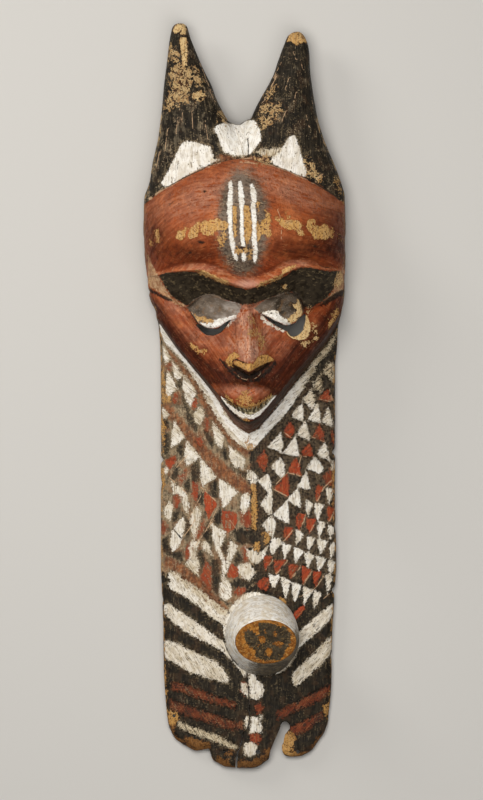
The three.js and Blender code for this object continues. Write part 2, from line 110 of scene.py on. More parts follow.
# ------------------------------------------------------------------ smooth noise
def _hash(ix, iy, iz, seed):
    h = (ix.astype(np.int64) * 374761393 + iy.astype(np.int64) * 668265263
         + iz.astype(np.int64) * 2147483647 + seed * 1274126177) & 0xFFFFFFFF
    h = (h ^ (h >> 13)) * 1274126177 & 0xFFFFFFFF
    h = h ^ (h >> 16)
    return (h & 0xFFFF) / 32767.5 - 1.0


def noise(x, y, z=0.0, scale=10.0, seed=1):
    x = np.asarray(x, float) / scale
    y = np.asarray(y, float) / scale
    z = np.broadcast_to(np.asarray(z, float) / scale, x.shape)
    ix, iy, iz = np.floor(x), np.floor(y), np.floor(z)
    fx, fy, fz = x - ix, y - iy, z - iz
    fx, fy, fz = [f * f * f * (f * (f * 6 - 15) + 10) for f in (fx, fy, fz)]
    out = 0
    for dz in (0, 1):
        for dy in (0, 1):
            for dx in (0, 1):
                w = (fx if dx else 1 - fx) * (fy if dy else 1 - fy) * (fz if dz else 1 - fz)
                out = out + w * _hash(ix + dx, iy + dy, iz + dz, seed)
    return out


def facets(x, y, cell, seed, stretch=1.0):
    """Shallow scoops left by a small adze: distance to the nearest stroke centre, squared."""
    gx, gy = x / cell, y / (cell * stretch)
    ix, iy = np.floor(gx), np.floor(gy)
    best = np.full(np.shape(x), 9.0)
    zero = np.zeros_like(ix)
    for dy in (-1, 0, 1):
        for dx in (-1, 0, 1):
            px = ix + dx + 0.5 + 0.42 * _hash(ix + dx, iy + dy, zero, seed)
            py = iy + dy + 0.5 + 0.42 * _hash(ix + dx, iy + dy, zero + 5, seed)
            best = np.minimum(best, (gx - px) ** 2 + (gy - py) ** 2)
    return np.minimum(best, 1.0)


# ------------------------------------------------------------------ the solid's own sizes (mm)
FOREHEAD_RISE, FOREHEAD_TOP, BROW_ROOT, BROW_LIP = 114, 68, 97, 7
RIM, HAIR_LEVEL, SADDLE, CHEEK, CHIN_AXIS = 29, 57, 31, 88, 4.6
NOSE_RISE, NOSE_TOP, NOSE_TIP, NOSE_WING = 31, 110, 27, 43
NOSE_ROOT_HALF, NOSE_WING_HALF = 8, 26.5
BOARD_RIDGE, BOARD_EDGE, BOARD_RIDGE_X, EDGE_ROUND = 25, 14, 9, 7
HORN_MID, HORN_HALF_ROOT, HORN_HALF_TIP = 31, 25, 8
TIP_L, TIP_R = (-74.5, 430.3), (60.5, 420.5)
BACK_FLAT_TO = 247

EDGE_LEFT = Curve([[-369, -89.5], [-340, -92], [-259, -94], [-190, -96.5], [-5, -96.5],
                   [58.5, -97.5], [82, -99.5], [97, -102.5], [110.5, -108], [128, -111], [154.5, -114], [180, -116],
                   [226.5, -115.5], [243.5, -110.5], [261, -107], [278.5, -103.5], [295.5, -100], [314, -97.5]])
EDGE_RIGHT = Curve([[-369, 97], [-340, 100], [-282.5, 101], [-236, 103.5], [-190, 106],
                    [-120.5, 104.5], [30, 104.5], [58.5, 107], [82, 108.5], [97, 112], [110.5, 114], [134, 115.5],
                    [180, 116], [226.5, 115.5], [243.5, 112.5], [261, 106], [278.5, 98.5], [295.5, 92], [317.5, 85]])
HORN_L_OUT = Curve([[314, -97.5], [330.5, -95.5], [358, -93], [386, -89.5], [413.5, -86], [429.5, -82.5]])
HORN_L_IN = Curve([[314, -17], [330.5, -26.5], [344, -33], [358, -38], [372, -45], [386, -51.4],
                   [399.5, -57], [413.5, -62.5], [429.5, -67]])
HORN_R_OUT = Curve([[317.5, 85], [330.5, 82.5], [351, 79], [379, 75.5], [399.5, 74.5], [413.5, 70], [420.5, 65.5]])
HORN_R_IN = Curve([[317.5, 6.5], [330.5, 12], [344, 19], [358, 27], [372, 34], [386, 38.5],
                   [399.5, 43.5], [413.5, 49], [420.5, 52]])
TOP_EDGE = Curve([[-99, 314], [-51.5, 314.5], [-17, 315.5], [-7.5, 313.5], [6.5, 319.5], [41, 318], [85, 317.5]])
ARC = Curve([[-116, 220.5], [-97.5, 235.5], [-74.5, 249], [-51.5, 261], [-28.5, 269], [-5, 273],
             [23.5, 268.5], [52.5, 258], [87.5, 242.5], [116, 221.5]])
RIDGE = Curve([[-116, 180], [-86, 186], [-51.5, 190.5], [-5, 196], [41, 194], [87.5, 191.5], [116, 182.5]])
BROW_TOP = Curve([[-116, 142.5], [-100, 143], [-80.5, 148.5], [-51.5, 152.5], [-28.5, 145.5],
                  [3, 135.5], [23.5, 140.5], [47, 152.5], [67.5, 156.5], [93, 149], [116, 145.5]])
BROW_EDGE = Curve([[-116, 137.5], [-99, 139], [-69, 143.5], [-55, 143.5], [-34, 135], [-11, 127],
                   [5, 123], [27, 130.5], [52.5, 142.5], [66.5, 147.5], [87.5, 145.5], [109, 143], [116, 139.5]])
SOCKET = Curve([[-116, 124.5], [-107, 124], [-97.5, 121], [-84, 113], [-66.5, 103], [-59.5, 109],
                [-51.5, 114], [-42, 116.5], [-22.5, 110.5], [5, 105.5], [29.5, 112.5], [44.5, 117], [55, 119.5],
                [62, 116.5], [67, 109.5], [69.5, 102], [77, 101], [89.5, 106.5], [103.5, 115.5], [116, 121]])
JAW_FOOT = Curve([[-116, 106], [-109, 98], [-100, 85.5], [-80.5, 56.5], [-57, 26.5], [-34, -2.5],
                  [-11, -32.5], [-1.5, -40.5], [5, -43.5], [14.5, -38.5], [35.5, -14], [58.5, 16], [81.5, 43.5],
                  [93, 58.5], [108, 85.5], [116, 101.5]])
JAW_SET_BACK = Curve([[-116, 3], [-50, 5], [-15, 9], [5, 13], [24, 12.5], [64, 10.5], [99, 8], [116, 4]])
BOTTOM = Curve([[-90.5, -361], [-88.5, -377], [-85, -387.5], [-81.5, -394.5], [-74.5, -400.5],
                [-65.5, -406], [-56, -410.5], [-41, -408.5], [-37.5, -419], [-30.5, -424.5], [-21.5, -429], [6.5, -430.5],
                [15.5, -429], [22.5, -424.5], [32, -417.5], [41, -414], [52.5, -417.5], [64, -417], [71, -414],
                [78, -409.5], [86, -398], [93, -387.5], [96.5, -377], [99, -365.5]])


def jaw_foot(x):
    # on the left the wall of the jaw meets the board just inside the white band
    return JAW_FOOT(x) + 2.3 * bell(np.asarray(x, float) + 46, 42) - 1.6 * bell(np.asarray(x, float) + 14, 11)


def jaw_top(x):
    return jaw_foot(x) + JAW_SET_BACK(x)


FOREHEAD_PROFILE = Curve([[0, FOREHEAD_TOP], [0.15, 83], [0.33, 100], [0.48, 110], [0.62, FOREHEAD_RISE],
                          [0.76, 112], [0.9, 104.5], [1, BROW_ROOT]])
SOCKET_LEVEL = Curve([[-116, 30], [-107, 42], [-96, 55], [-82, 61], [-66, 63], [-51, 69], [-40, 71],
                      [-22, 74], [-5, 80], [5, 83], [15, 80], [31, 74], [47, 71], [62, 68], [70, 64], [77, 63],
                      [90, 59], [104, 50], [116, 30]])
JAW_LEVEL = Curve([[-116, 30], [-109, 40], [-98, 54], [-85, 62], [-60, 70], [-34, 78], [-10, 86],
                   [5, 88], [24, 85], [46, 78], [72, 70], [95, 60], [108, 52], [116, 30]])
BOARD_FALL = Curve([[-430, 0.62], [-400, 0.72], [-330, 0.92], [-280, 1], [120, 1]])

# lips and lids, as [X, along Y]
LIP_TOP = Curve([[-30, 5], [-19, 13], [-8, 16], [1, 15.5], [6, 11], [15.5, 13], [36, 8], [42, 4]])
LIP_EDGE = Curve([[-29, -1], [-19, -6], [-8.5, -11.5], [3, -13.5], [13.5, -12], [24, -6.5], [36.5, 2]])
LOWER_IN = Curve([[-27, -1.5], [-17, -9.5], [-8.5, -16.5], [3, -21.5], [13.5, -18], [22.5, -9.5], [33, -0.5]])
LOWER_OUT = Curve([[-28, -3], [-21.5, -12.5], [-13, -20], [-5, -26], [3, -28], [11, -27], [19, -21], [27, -12], [36, 1]])
SLIT_L = Curve([[-62, 92], [-55, 82.5], [-48, 80], [-42, 78], [-34, 77.2], [-26, 80.5], [-21, 84.5], [-14, 87.5], [-8, 90]])
SLIT_R = Curve([[16, 95], [22.5, 92.5], [31.5, 88.2], [41, 83.4], [50, 80.6], [60, 82], [70, 92], [74, 98]])


# ------------------------------------------------------------------ the carved front
def outline_across(x, y):
    a, b = EDGE_LEFT(y), EDGE_RIGHT(y)
    return np.clip((2 * x - a - b) / (b - a), -1, 1)


def forehead(x, y):
    s = outline_across(x, y)
    top, ridge, low = ARC(x), RIDGE(x), BROW_TOP(x)
    t = np.where(y > ridge, 0.62 * (top - y) / (top - ridge), 0.62 + 0.38 * (ridge - y) / (ridge - low))
    z = RIM + (FOREHEAD_PROFILE(np.clip(t, 0, 1)) - RIM) * rnd(s, 2.7, 0.52)
    edge = BROW_EDGE(x)
    w = (low - y) / np.maximum(low - edge, 3)
    near = y < low + 6
    z = z - np.where(near, 2.2 * bell(low - y + 1.5, 3) * rnd(s, 6, 1), 0)
    z = z + np.where(near & (w > 0), BROW_LIP * np.sin(np.clip(w, 0, 1) * math.pi * 0.62) * rnd(s, 8, 1), 0)
    # soft crisp lower edge of the step at the top
    z = z - 3.0 * np.exp(-np.maximum(top - y, 0) / 2.2) * rnd(s, 4, 0.5)
    return z


def horn_half(y):
    return lerp(HORN_HALF_ROOT, HORN_HALF_TIP, np.clip((y - 314) / 112, 0, 1))


def horn_level(x, y, a, b):
    s = np.clip((2 * x - a - b) / (b - a), -1, 1)
    return HORN_MID + 1 + horn_half(y) * rnd(s, 2.3, 0.5)


def hair(x, y):
    s = outline_across(x, y)
    down = np.maximum(0, TOP_EDGE(x) - y)
    saddle = SADDLE + (HAIR_LEVEL - 3 - SADDLE) * (1 - np.exp(-down / 15))
    la, lb = EDGE_LEFT(y), -17 + down * 0.9
    ra, rb = 6.5 - down * 0.8, EDGE_RIGHT(y)
    left = np.where(x < lb, horn_level(x, y, la, lb), 0)
    right = np.where(x > ra, horn_level(x, y, ra, rb), 0)
    dome = RIM + 2 + (HAIR_LEVEL - RIM) * rnd(s, 3.2, 0.5)
    lobes = np.maximum(np.maximum(np.where(np.abs(s) < 0.9, saddle, 0), left), right)
    return lerp(np.maximum(lobes, SADDLE), dome, step(8, 46, down))


def cheek_base(x, y):
    s = (x - CHIN_AXIS) / 112
    rim = rnd(outline_across(x, y), 9, 0.5)
    z = CHEEK - 31 * np.abs(s) ** 2.1
    return np.where(y > 84, lerp(z, RIM + 1 + (z - RIM - 1) * rim, step(84, 96, y)), z)


def ellipse(x, y, c, a, b):
    return ((x - c[0]) / a) ** 2 + ((y - c[1]) / b) ** 2


def nose_part(x, y):
    along = np.clip((NOSE_TOP - y) / (NOSE_TOP - NOSE_WING), 0, 1.3)
    al = np.minimum(1, along)
    half = lerp(NOSE_ROOT_HALF, NOSE_WING_HALF, al ** 1.35)
    ridge_x = lerp(3.5, 5.4, al)
    d = np.abs(x - ridge_x) / half
    crest = 1.04 - np.sqrt(d * d + 0.0036)
    lower = NOSE_TIP + 0.57 * np.sqrt((x - 5.2) ** 2 + 3)
    rise = np.minimum(NOSE_RISE * (0.1 + 0.9 * along ** 0.9), NOSE_RISE) * step(NOSE_TOP + 4, NOSE_TOP - 4, y)
    # soft foot where the side of the nose meets the cheek
    c = np.where(crest > 0.12, crest, 0.12 * np.exp((np.clip(crest, -2, 0.12) - 0.12) / 0.12))
    c = np.where(y < NOSE_TOP + 4, c, 0)
    # the underside is cut back steeply from the V-shaped lower edge
    return rise * c * step(lower - 5.0, lower + 0.6, y), lower, c


def face(x, y):
    top, foot = SOCKET(x), jaw_top(x)
    down = np.maximum(0, top - y)
    base = cheek_base(x, y)
    z = base + (SOCKET_LEVEL(x) - cheek_base(x, top)) * np.exp(-down / 7)
    # cheekbones
    for cx, cy, a, b, h in ((-52, 58, 34, 26, 2.5), (60, 60, 34, 26, 2.5)):
        r = ellipse(x, y, (cx, cy), a, b)
        z = z + np.where(r < 1, h * (1 - np.minimum(r, 1)) ** 1.5, 0)
    # heavy lids over slit eyes
    for c, slit, half in (((-35.5, 94.5), SLIT_L, 32), ((40, 98.5), SLIT_R, 30)):
        r = ellipse(x, y, c, half, 22)
        sy = slit(x)
        inside = r < 1
        dome = 8.5 * np.sqrt(np.maximum(1 - np.minimum(r, 1), 0))
        z = z + np.where(inside, dome * step(sy - 1.6, sy + 0.6, y), 0)
        # rolled lower edge of the upper lid, and the rim below the slit
        z = z + np.where(inside, 0.9 * bell(y - sy - 3.2, 2.2) * step(0, 0.25, 1 - r), 0)
        z = z - np.where(r < 1.05, 2.0 * bell(y - sy + 4.5, 3.2), 0)
        z = z + np.where(r < 1.1, 0.8 * bell(y - sy + 9.5, 2.6) * step(0, 0.3, 1.1 - r), 0)
    # muzzle
    m = ellipse(x, y, (CHIN_AXIS, -6), 44, 32)
    z = z + np.where(m < 1, 8 * (1 - np.minimum(m, 1)) ** 1.2, 0)
    nose, lower, crest = nose_part(x, y)
    z = z + nose
    # mouth
    lt, le, li = LIP_TOP(x), LIP_EDGE(x), LOWER_IN(x)
    fade = step(-31, -24, x) * (1 - step(34, 42, x))
    up = step(lt + 3.0, lt - 4.5, y)
    lip = 5.0 * up * np.where(y > le, 1, 0)
    lip = lip + 1.6 * bell(y - le - 3.5, 3.5) * np.where(y > le, 1, 0)
    lip = lip - 1.2 * bell(x - 5.5, 2.2) * bell(y - 9.5, 6) * np.where(y > le, 1, 0)
    z = z + fade * lip
    mouth = (y <= le) & (y >= li)
    z = z - fade * np.where(mouth, 5.5, 0)
    z = z + fade * np.where((y < li) & (y > foot - 1), 3.2, 0)
    # small pointed teeth, hanging from the upper lip and standing in the lower one
    tooth = np.abs(((x + 0.6 * np.sin(x * 0.9)) / 4.3) % 1.0 - 0.5) * 2
    gap = np.maximum(le - li, 1)
    hang = np.clip((y - (le - gap * (0.25 + 0.5 * (1 - tooth)))) / 1.2, 0, 1)
    z = z + fade * np.where(mouth, 3.6 * hang, 0)
    # the cheek rolls over into the jaw
    t = np.clip(down / np.maximum(top - foot, 4), 0, 1)
    return lerp(z, JAW_LEVEL(x) + np.where((y < li) & (x > -30) & (x < 40), 2.0, 0), t ** 8)


def board(x, y):
    a, b = EDGE_LEFT(y), EDGE_RIGHT(y)
    off = np.where(x < BOARD_RIDGE_X, (BOARD_RIDGE_X - x) / (BOARD_RIDGE_X - a), (x - BOARD_RIDGE_X) / (b - BOARD_RIDGE_X))
    roof = lerp(BOARD_RIDGE, BOARD_EDGE, np.clip(off, 0, 1) ** 1.25)
    inset = np.maximum(0, np.minimum(np.minimum(x - a, b - x), (y - BOTTOM(x)) * 0.9))
    worn = np.where(inset < EDGE_ROUND, 5 * (1 - inset / EDGE_ROUND) ** 2, 0)
    return roof * BOARD_FALL(y) - worn


def front(x, y):
    x, y = np.asarray(x, float), np.asarray(y, float)
    edge, socket = BROW_EDGE(x), SOCKET(x)
    top, foot = jaw_top(x), jaw_foot(x)
    t = np.clip((edge - y) / np.maximum(edge - socket, 2), 0, 1)
    s8 = rnd(outline_across(x, y), 8, 1)
    band = lerp(forehead(x, edge) - 3 * s8, face(x, socket), t ** 0.75)
    band = band + 1.4 * np.sin(np.pi * t) * 0
    w = np.clip((y - foot) / (top - foot), 0, 1)
    wall = lerp(board(x, foot), face(x, top), w ** 1.25)
    z = np.where(y > ARC(x), hair(x, y),
                 np.where(y >= edge, forehead(x, y),
                          np.where(y > socket, band,
                                   np.where(y >= top, face(x, y),
                                            np.where(y > foot, wall, board(x, y))))))
    return z


def back(x, y):
    s = outline_across(x, y)
    up = np.clip((y - BACK_FLAT_TO) / (316 - BACK_FLAT_TO), 0, 1)
    middle = bell(x + 5, 16)
    root = HORN_MID - 1 - HORN_HALF_ROOT * rnd(s, 2.6, 0.5) * (1 - 0.55 * middle)
    return root * up ** 1.6


def seg_dist(x, y, pts, closed=False):
    """Distance to a polyline given in millimetres."""
    best = np.full(np.shape(x), 1e9)
    n = len(pts)
    for i in range(n if closed else n - 1):
        (x0, y0), (x1, y1) = pts[i], pts[(i + 1) % n]
        dx, dy = x1 - x0, y1 - y0
        t = np.clip(((x - x0) * dx + (y - y0) * dy) / max(dx * dx + dy * dy, 1e-9), 0, 1)
        best = np.minimum(best, (x - x0 - t * dx) ** 2 + (y - y0 - t * dy) ** 2)
    return np.sqrt(best)


def P(pts):
    return [(float((u - CU) * K), float((CV - v) * K)) for u, v in pts]


FINE_CRACKS = [  # polyline on the survey sheet, depth mm, half width mm
    ([(233, 360.5), (235, 359.4), (240, 361.5), (244, 363.4), (247, 363.8)], 2.2, 0.9),
    ([(232.8, 364), (233.2, 360.5)], 1.8, 0.8),
    ([(247.5, 139), (248.5, 147), (248, 156)], 1.2, 0.8),
    ([(217, 117.5), (219.5, 116)], 1.6, 1.0),
]


def relief(x, y):
    """Hand-carved unevenness laid over the designed surface."""
    hairy = step(-1, 2, y - ARC(x))
    onboard = step(1, -2, y - jaw_foot(x))
    skin = (1 - hairy) * (1 - onboard)
    r = 0.35 * noise(x, y, 0, 31, 3) + 0.22 * noise(x, y, 0, 13, 4)
    r = r + 0.10 * noise(x, y, 0, 4.2, 5)
    scoops = facets(x, y, 13, 11)
    r = r + skin * (0.55 * scoops - 0.2)
    r = r + hairy * (0.9 * facets(x, y, 8, 12, 2.8) - 0.4 + 0.35 * noise(x, y * 0.16, 0, 3.2, 6))
    r = r + onboard * (0.55 * facets(x, y, 16, 13, 1.6) - 0.2 + 0.16 * noise(x, y * 0.12, 0, 3.0, 7))
    for pts, depth, half in FINE_CRACKS:
        r = r - depth * np.exp(-(seg_dist(x, y, P(pts)) / half) ** 2)
    return r


# ------------------------------------------------------------------ painted marks
# Outlines on the survey sheet.  A trailing number is the tint of that mark, 0 clean and light, 1 dull and dark.
WHITE = [
    # patches in the hair
    ([(161, 184), (168, 172), (176, 155), (182, 144), (186, 141.5), (192, 142.5), (201, 144.5), (210, 147), (212, 153), (214.5, 158), (219, 160.5),
      (212, 164), (205, 167.5), (196, 171), (190, 174), (182, 178.5), (174, 183.5), (166, 187.5)], 0.1),
    ([(217, 126), (223, 123.5), (229, 122), (236, 124), (240, 124), (245, 120.5), (250, 118.5), (256, 123), (260, 131), (261, 140), (257, 146),
      (250, 154), (243, 157), (233, 156.5), (225, 153), (221, 146), (219, 138), (214, 130)], 0.05),
    ([(269, 162.5), (274, 157.5), (279, 152), (283, 148), (287, 141), (290.5, 136), (294, 136), (297.5, 143), (300, 153), (303, 162), (306.5, 170),
      (305, 177), (298, 175.5), (290, 171.5), (284, 169), (276, 166)], 0.1),
    ([(252, 151), (262, 150), (272, 148.5), (283, 149), (276, 156), (268, 156.5), (258, 155.5)], 0.75),
    # stripes on the forehead
    ([(229.2, 183.5), (231, 182), (232.4, 186), (232.4, 196), (232.7, 206), (232.3, 218), (232.8, 230), (233.8, 240), (235.2, 247), (236.8, 254), (238, 260), (236.6, 261.6), (234, 258), (231.8, 251),
      (230.2, 244), (229.2, 236), (228.4, 225), (227.6, 214), (227.4, 205), (228.4, 196), (229, 189)], 0.05),
    ([(238.2, 182.5), (240.6, 181.6), (242.2, 186), (243.4, 194), (244.2, 202), (243.8, 213), (243.8, 226), (244.6, 238), (245, 246.6), (241.8, 247.4), (240.8, 238), (240.2, 226), (240.4, 214), (239.6, 204), (238.6, 192)], 0.0),
    ([(243, 252), (245.8, 252.5), (246, 258), (244.8, 262), (242.2, 261), (241.5, 256)], 0.05),
    ([(250, 186), (251.6, 184.2), (254, 188), (256, 194), (256.2, 201), (255.2, 209), (256.2, 218), (256.8, 228), (256.4, 239), (257.2, 249), (257, 258), (255, 263.5), (253, 261), (253, 250), (252, 239), (252, 228), (251.4, 217), (251, 207), (251.6, 199), (250.4, 192)], 0.05),
    # rolled edges of the lids
    ([(200, 322.5), (203, 323.2), (208, 323.2), (212, 321), (218, 319.5), (225, 318.6), (231, 316.4), (233.5, 315.4), (236, 316), (236.3, 318), (234, 321),
      (231.2, 321.6), (226, 322.8), (222, 325.5), (218, 327.3), (213, 329), (208, 329), (204, 327.6)], 0.0),
    ([(262.5, 313.6), (268, 311.4), (273, 310.6), (278, 312.6), (280, 316.6), (285, 319.6), (290, 321.6), (291, 326), (287, 326.2), (282, 325), (277, 322.4), (272, 320),
      (268, 318), (264, 315.6)], 0.1),
    ([(260.4, 314.6), (262.4, 315.2), (264.5, 319), (268, 322), (273, 325), (278, 327.6), (284, 330.4), (283.5, 331.6), (277, 329.6), (270, 326), (264, 322), (261, 318.4)], 0.35),
    ([(231, 321.8), (233, 321.6), (230.5, 324.5), (227, 328), (225.6, 327.6), (228.4, 324)], 0.35),
    # lower lip and teeth
    ([(221, 396.5), (223, 398), (227, 401), (231, 404.3), (235, 408.2), (239, 410.6), (242, 413), (245, 413), (248, 415), (252, 415), (256, 413), (260, 410),
      (265, 406), (270, 400), (275.5, 395.6), (274, 399), (270, 403), (267, 406.8), (263, 411.4), (259, 415.2), (254, 418.2), (250, 419.2), (247, 418),
      (243, 418.6), (239.5, 416.8), (235, 413.4), (230, 408.8), (225.5, 404), (221.5, 399.4)], 0.0),
    ([(226.5, 399.6), (229, 401.6), (230.6, 404), (228, 402)], 0.45), ([(230.8, 402.4), (233.4, 404), (234.6, 407.6), (231.6, 405)], 0.45),
    ([(234, 404.4), (237.2, 406.6), (238, 410), (235.4, 408)], 0.45), ([(238, 406.8), (241.4, 408.2), (241.4, 412), (239, 410.4)], 0.4),
    ([(242.4, 408.6), (246.2, 409.2), (246.6, 413.6), (243.4, 412.4)], 0.35), ([(247.2, 409.2), (250.6, 409.2), (251.4, 414), (248.2, 414)], 0.35),
    ([(251.8, 408.4), (255, 407.4), (256, 411.6), (253.2, 413.4)], 0.4), ([(256.2, 406.8), (259.2, 405.4), (260.4, 408.4), (257.6, 410.6)], 0.45),
    ([(261, 404.4), (264.6, 402), (265, 404.6), (262, 407.4)], 0.45), ([(265.6, 401.2), (269, 398.6), (268.8, 400.6), (266, 403.6)], 0.5),
    # left half of the beard
    ([(163, 346), (166.5, 351), (170.5, 358), (165.5, 364.5), (163.6, 357)], 0.15), ([(172.5, 361), (177, 366), (182.5, 375), (178.5, 380.5), (174, 376), (172, 370)], 0.2),
    ([(167, 371), (171.5, 377), (177.5, 388), (172.5, 393), (168.5, 401.5), (165.5, 391), (166, 380)], 0.25),
    ([(184, 375), (188, 378.5), (196.5, 393), (193, 400), (190.5, 406.5), (186, 400), (182.5, 386)], 0.15),
    ([(199, 407), (203.5, 410), (204.5, 417), (200, 425), (195, 422), (193.5, 414)], 0.55), ([(200.5, 412), (203.5, 415), (201.5, 419.5), (198, 416)], 0.2),
    ([(212, 421), (217, 426.5), (224, 437), (221.5, 449), (216, 443), (213, 433)], 0.3), ([(229, 446), (236, 451.5), (245, 459), (243.5, 469), (235, 467), (229, 457)], 0.3),
    ([(161.5, 407), (165, 410), (169, 415), (163.5, 419), (162, 413)], 0.35), ([(174, 421), (178.5, 427.5), (184.5, 438), (178, 443.5), (171, 448), (172, 434)], 0.15),
    ([(186, 440), (192.5, 448), (200.5, 457), (193, 462), (185.5, 466), (184.7, 453)], 0.2), ([(200.5, 458), (207, 465), (216.5, 477), (209, 481.5), (202.5, 486.5), (200, 472)], 0.15),
    ([(219.5, 479), (228, 484), (238, 491.5), (231, 499.5), (223.5, 507.5), (219, 494)], 0.15),
    ([(243, 494), (247, 493), (249.8, 496), (249.5, 503), (247, 510), (244, 515.5), (241.4, 512), (240.6, 505), (241.3, 498)], 0.0),
    ([(163, 469), (167, 466.5), (168, 471), (165.5, 475), (163, 473)], 0.2),
    ([(171.5, 481.5), (178, 486), (184, 490), (187.5, 497.5), (189.5, 505.5), (187.5, 513.5), (183.5, 508), (181, 499), (178, 493), (173, 494.5)], 0.25),
    ([(169.5, 501), (172.8, 506), (171.5, 514), (169.5, 520.5), (166, 517), (163.5, 512.5), (166, 506)], 0.3),
    ([(183, 516.5), (184.5, 522), (184, 530), (181.5, 538), (177, 534), (173.5, 528), (178, 522)], 0.15), ([(172, 530), (177, 534), (181.5, 540), (177.5, 548), (172.5, 551.5), (170.5, 543)], 0.1),
    ([(196.5, 507), (200.5, 511), (201, 516), (197.5, 527), (194.5, 540), (191.5, 530), (190, 518), (193, 511)], 0.4),
    ([(188, 548), (193, 540), (200, 541), (196, 553), (199, 565), (199, 576.5), (192, 571), (185.5, 563.5), (191, 556)], 0.4), ([(201, 543), (205.5, 541.5), (210.5, 547), (212.5, 556), (208, 553), (203.5, 551)], 0.45),
    ([(211, 523), (216, 527), (225.5, 532), (223, 541), (219.5, 548.5), (222, 553), (225.5, 560), (226.5, 572), (224, 577), (230, 584), (232.5, 590), (231, 597), (226, 600.5), (220, 597),
      (219.2, 590), (221, 580), (222.5, 572), (221.5, 560), (216, 550), (213, 538)], 0.2),
    ([(230, 539.5), (237.5, 546), (234.5, 554), (230, 562), (227, 572), (225.5, 562), (228.5, 550)], 0.25),
    ([(238.5, 565), (244, 563.3), (250, 563.2), (254, 570), (255.2, 575.5), (249, 580), (242, 578), (239, 571)], 0.35),
    # middle line of the beard
    ([(247.5, 470.5), (253, 472), (257.5, 476), (257, 483), (252, 484.5), (247.5, 480)], 0.3),
    ([(245, 547), (250.5, 551), (254, 548), (258, 554.5), (262, 551.5), (268, 546), (265.5, 553), (262, 560), (256, 563.5), (250, 560), (247, 553)], 0.35),
    # right half of the beard
    ([(329, 362), (335.5, 362), (334.6, 382), (330, 379), (322.5, 372)], 0.3), ([(321.2, 374), (322.5, 384), (321.6, 393.5), (316, 389), (311.8, 384)], 0.6),
    ([(311.8, 388), (314, 396), (315.4, 404), (311.4, 409), (306.5, 404), (303, 399)], 0.2), ([(302.2, 402.5), (303.2, 411), (303.6, 421), (297, 419), (291.2, 416.2)], 0.25),
    ([(317.5, 403), (319.4, 412), (320.6, 423.4), (314, 421.6), (308, 419.6)], 0.25), ([(328, 407.4), (331, 416), (334, 427.4), (328, 425), (321.8, 422.6)], 0.4),
    ([(305.4, 420.6), (308, 430), (310, 441), (303, 438), (296.6, 434.4)], 0.35), ([(281, 432), (282.4, 443), (282, 453), (275, 450), (267.8, 447)], 0.2),
    ([(295.2, 437), (297.6, 447), (299, 456.6), (291, 455), (282.8, 452.8)], 0.15), ([(325, 442.8), (328, 451), (330, 461.6), (323, 458), (317, 453)], 0.25),
    ([(314.4, 456.6), (320, 462), (323.8, 470), (320, 474), (312.5, 471), (306.6, 468.6)], 0.2), ([(281, 457), (284, 464), (284.6, 475.5), (280.5, 477), (275, 471.5), (271.6, 466.5)], 0.25),
    ([(305.8, 471.4), (308.4, 480), (310.4, 488.8), (304, 488.2), (297.8, 486.4)], 0.15), ([(267.4, 473.5), (271.2, 483), (271, 491), (269, 493.5), (264, 487.5), (258.4, 481.6)], 0.25),
    ([(298, 487.4), (300, 498), (300.8, 507.6), (294, 504), (287.6, 499)], 0.15), ([(271.4, 490.5), (272.4, 503), (271.4, 516), (266, 511), (260.6, 503.4), (266, 497)], 0.25),
    ([(287, 501), (288.8, 512), (288.6, 523.6), (281, 520), (273, 515)], 0.1), ([(268.4, 517.4), (275, 519.4), (275, 527), (272.2, 537.4), (267, 532), (262, 525)], 0.2),
    ([(272, 537.6), (280.4, 539), (280, 545), (275.4, 551), (272, 554), (269.4, 546)], 0.25), ([(326, 488.6), (334, 489), (333, 495), (329.6, 503.6), (327, 496)], 0.35),
    ([(305.8, 500), (312.8, 503), (310.6, 509), (308, 516.4), (306, 508)], 0.3), ([(314.4, 503.6), (324, 505), (321, 512), (318, 521), (315.4, 512)], 0.2),
    ([(317.4, 521), (326.2, 523.8), (322.6, 530), (319.4, 537.6), (317.6, 529)], 0.2), ([(327.4, 524), (336.2, 527.6), (333.4, 533), (330.4, 540.4), (328.6, 532)], 0.3),
    ([(296, 529.6), (304, 534.4), (300.6, 540), (296.8, 545), (296, 537)], 0.2), ([(307.4, 535), (314.6, 539.4), (311.6, 546), (308.6, 552.4), (307.2, 544)], 0.25),
    ([(317.4, 539), (327.8, 541.4), (324, 548), (320.6, 554.4), (318.4, 547)], 0.2), ([(330, 542.4), (336.8, 543), (334, 551), (331, 559), (329.6, 550)], 0.35),
    ([(282, 541.6), (286.6, 544.6), (291.6, 545.6), (288, 552), (284.2, 559), (282.6, 550)], 0.15), ([(293.8, 546.4), (304, 551.6), (299.6, 557), (295.6, 562.6), (294.4, 555)], 0.05),
    ([(304.6, 552), (313.6, 555.8), (310.6, 562), (308, 568.4), (305.4, 560)], 0.2), ([(316.2, 555.4), (326.4, 559.4), (322.4, 566), (318.6, 571.4), (316.6, 563)], 0.2),
    ([(328, 560), (336.6, 562), (333.4, 569), (329.8, 576.4), (328.2, 568)], 0.3), ([(269, 573.4), (274, 575.8), (279.6, 574.8), (277.4, 583), (273.4, 588.4), (269.4, 581)], 0.15),
    ([(281, 576.6), (290.6, 580.6), (288.4, 590), (285.2, 598), (282.6, 588)], 0.2), ([(291.8, 582), (302, 585.8), (298, 594), (294.8, 602.6), (292.6, 593)], 0.15),
    ([(303, 586), (313.2, 590.8), (308.4, 598), (304.6, 605.6), (303, 596)], 0.3), ([(314, 589.4), (322.8, 594.8), (318, 601), (314.4, 608), (313.2, 599)], 0.35),
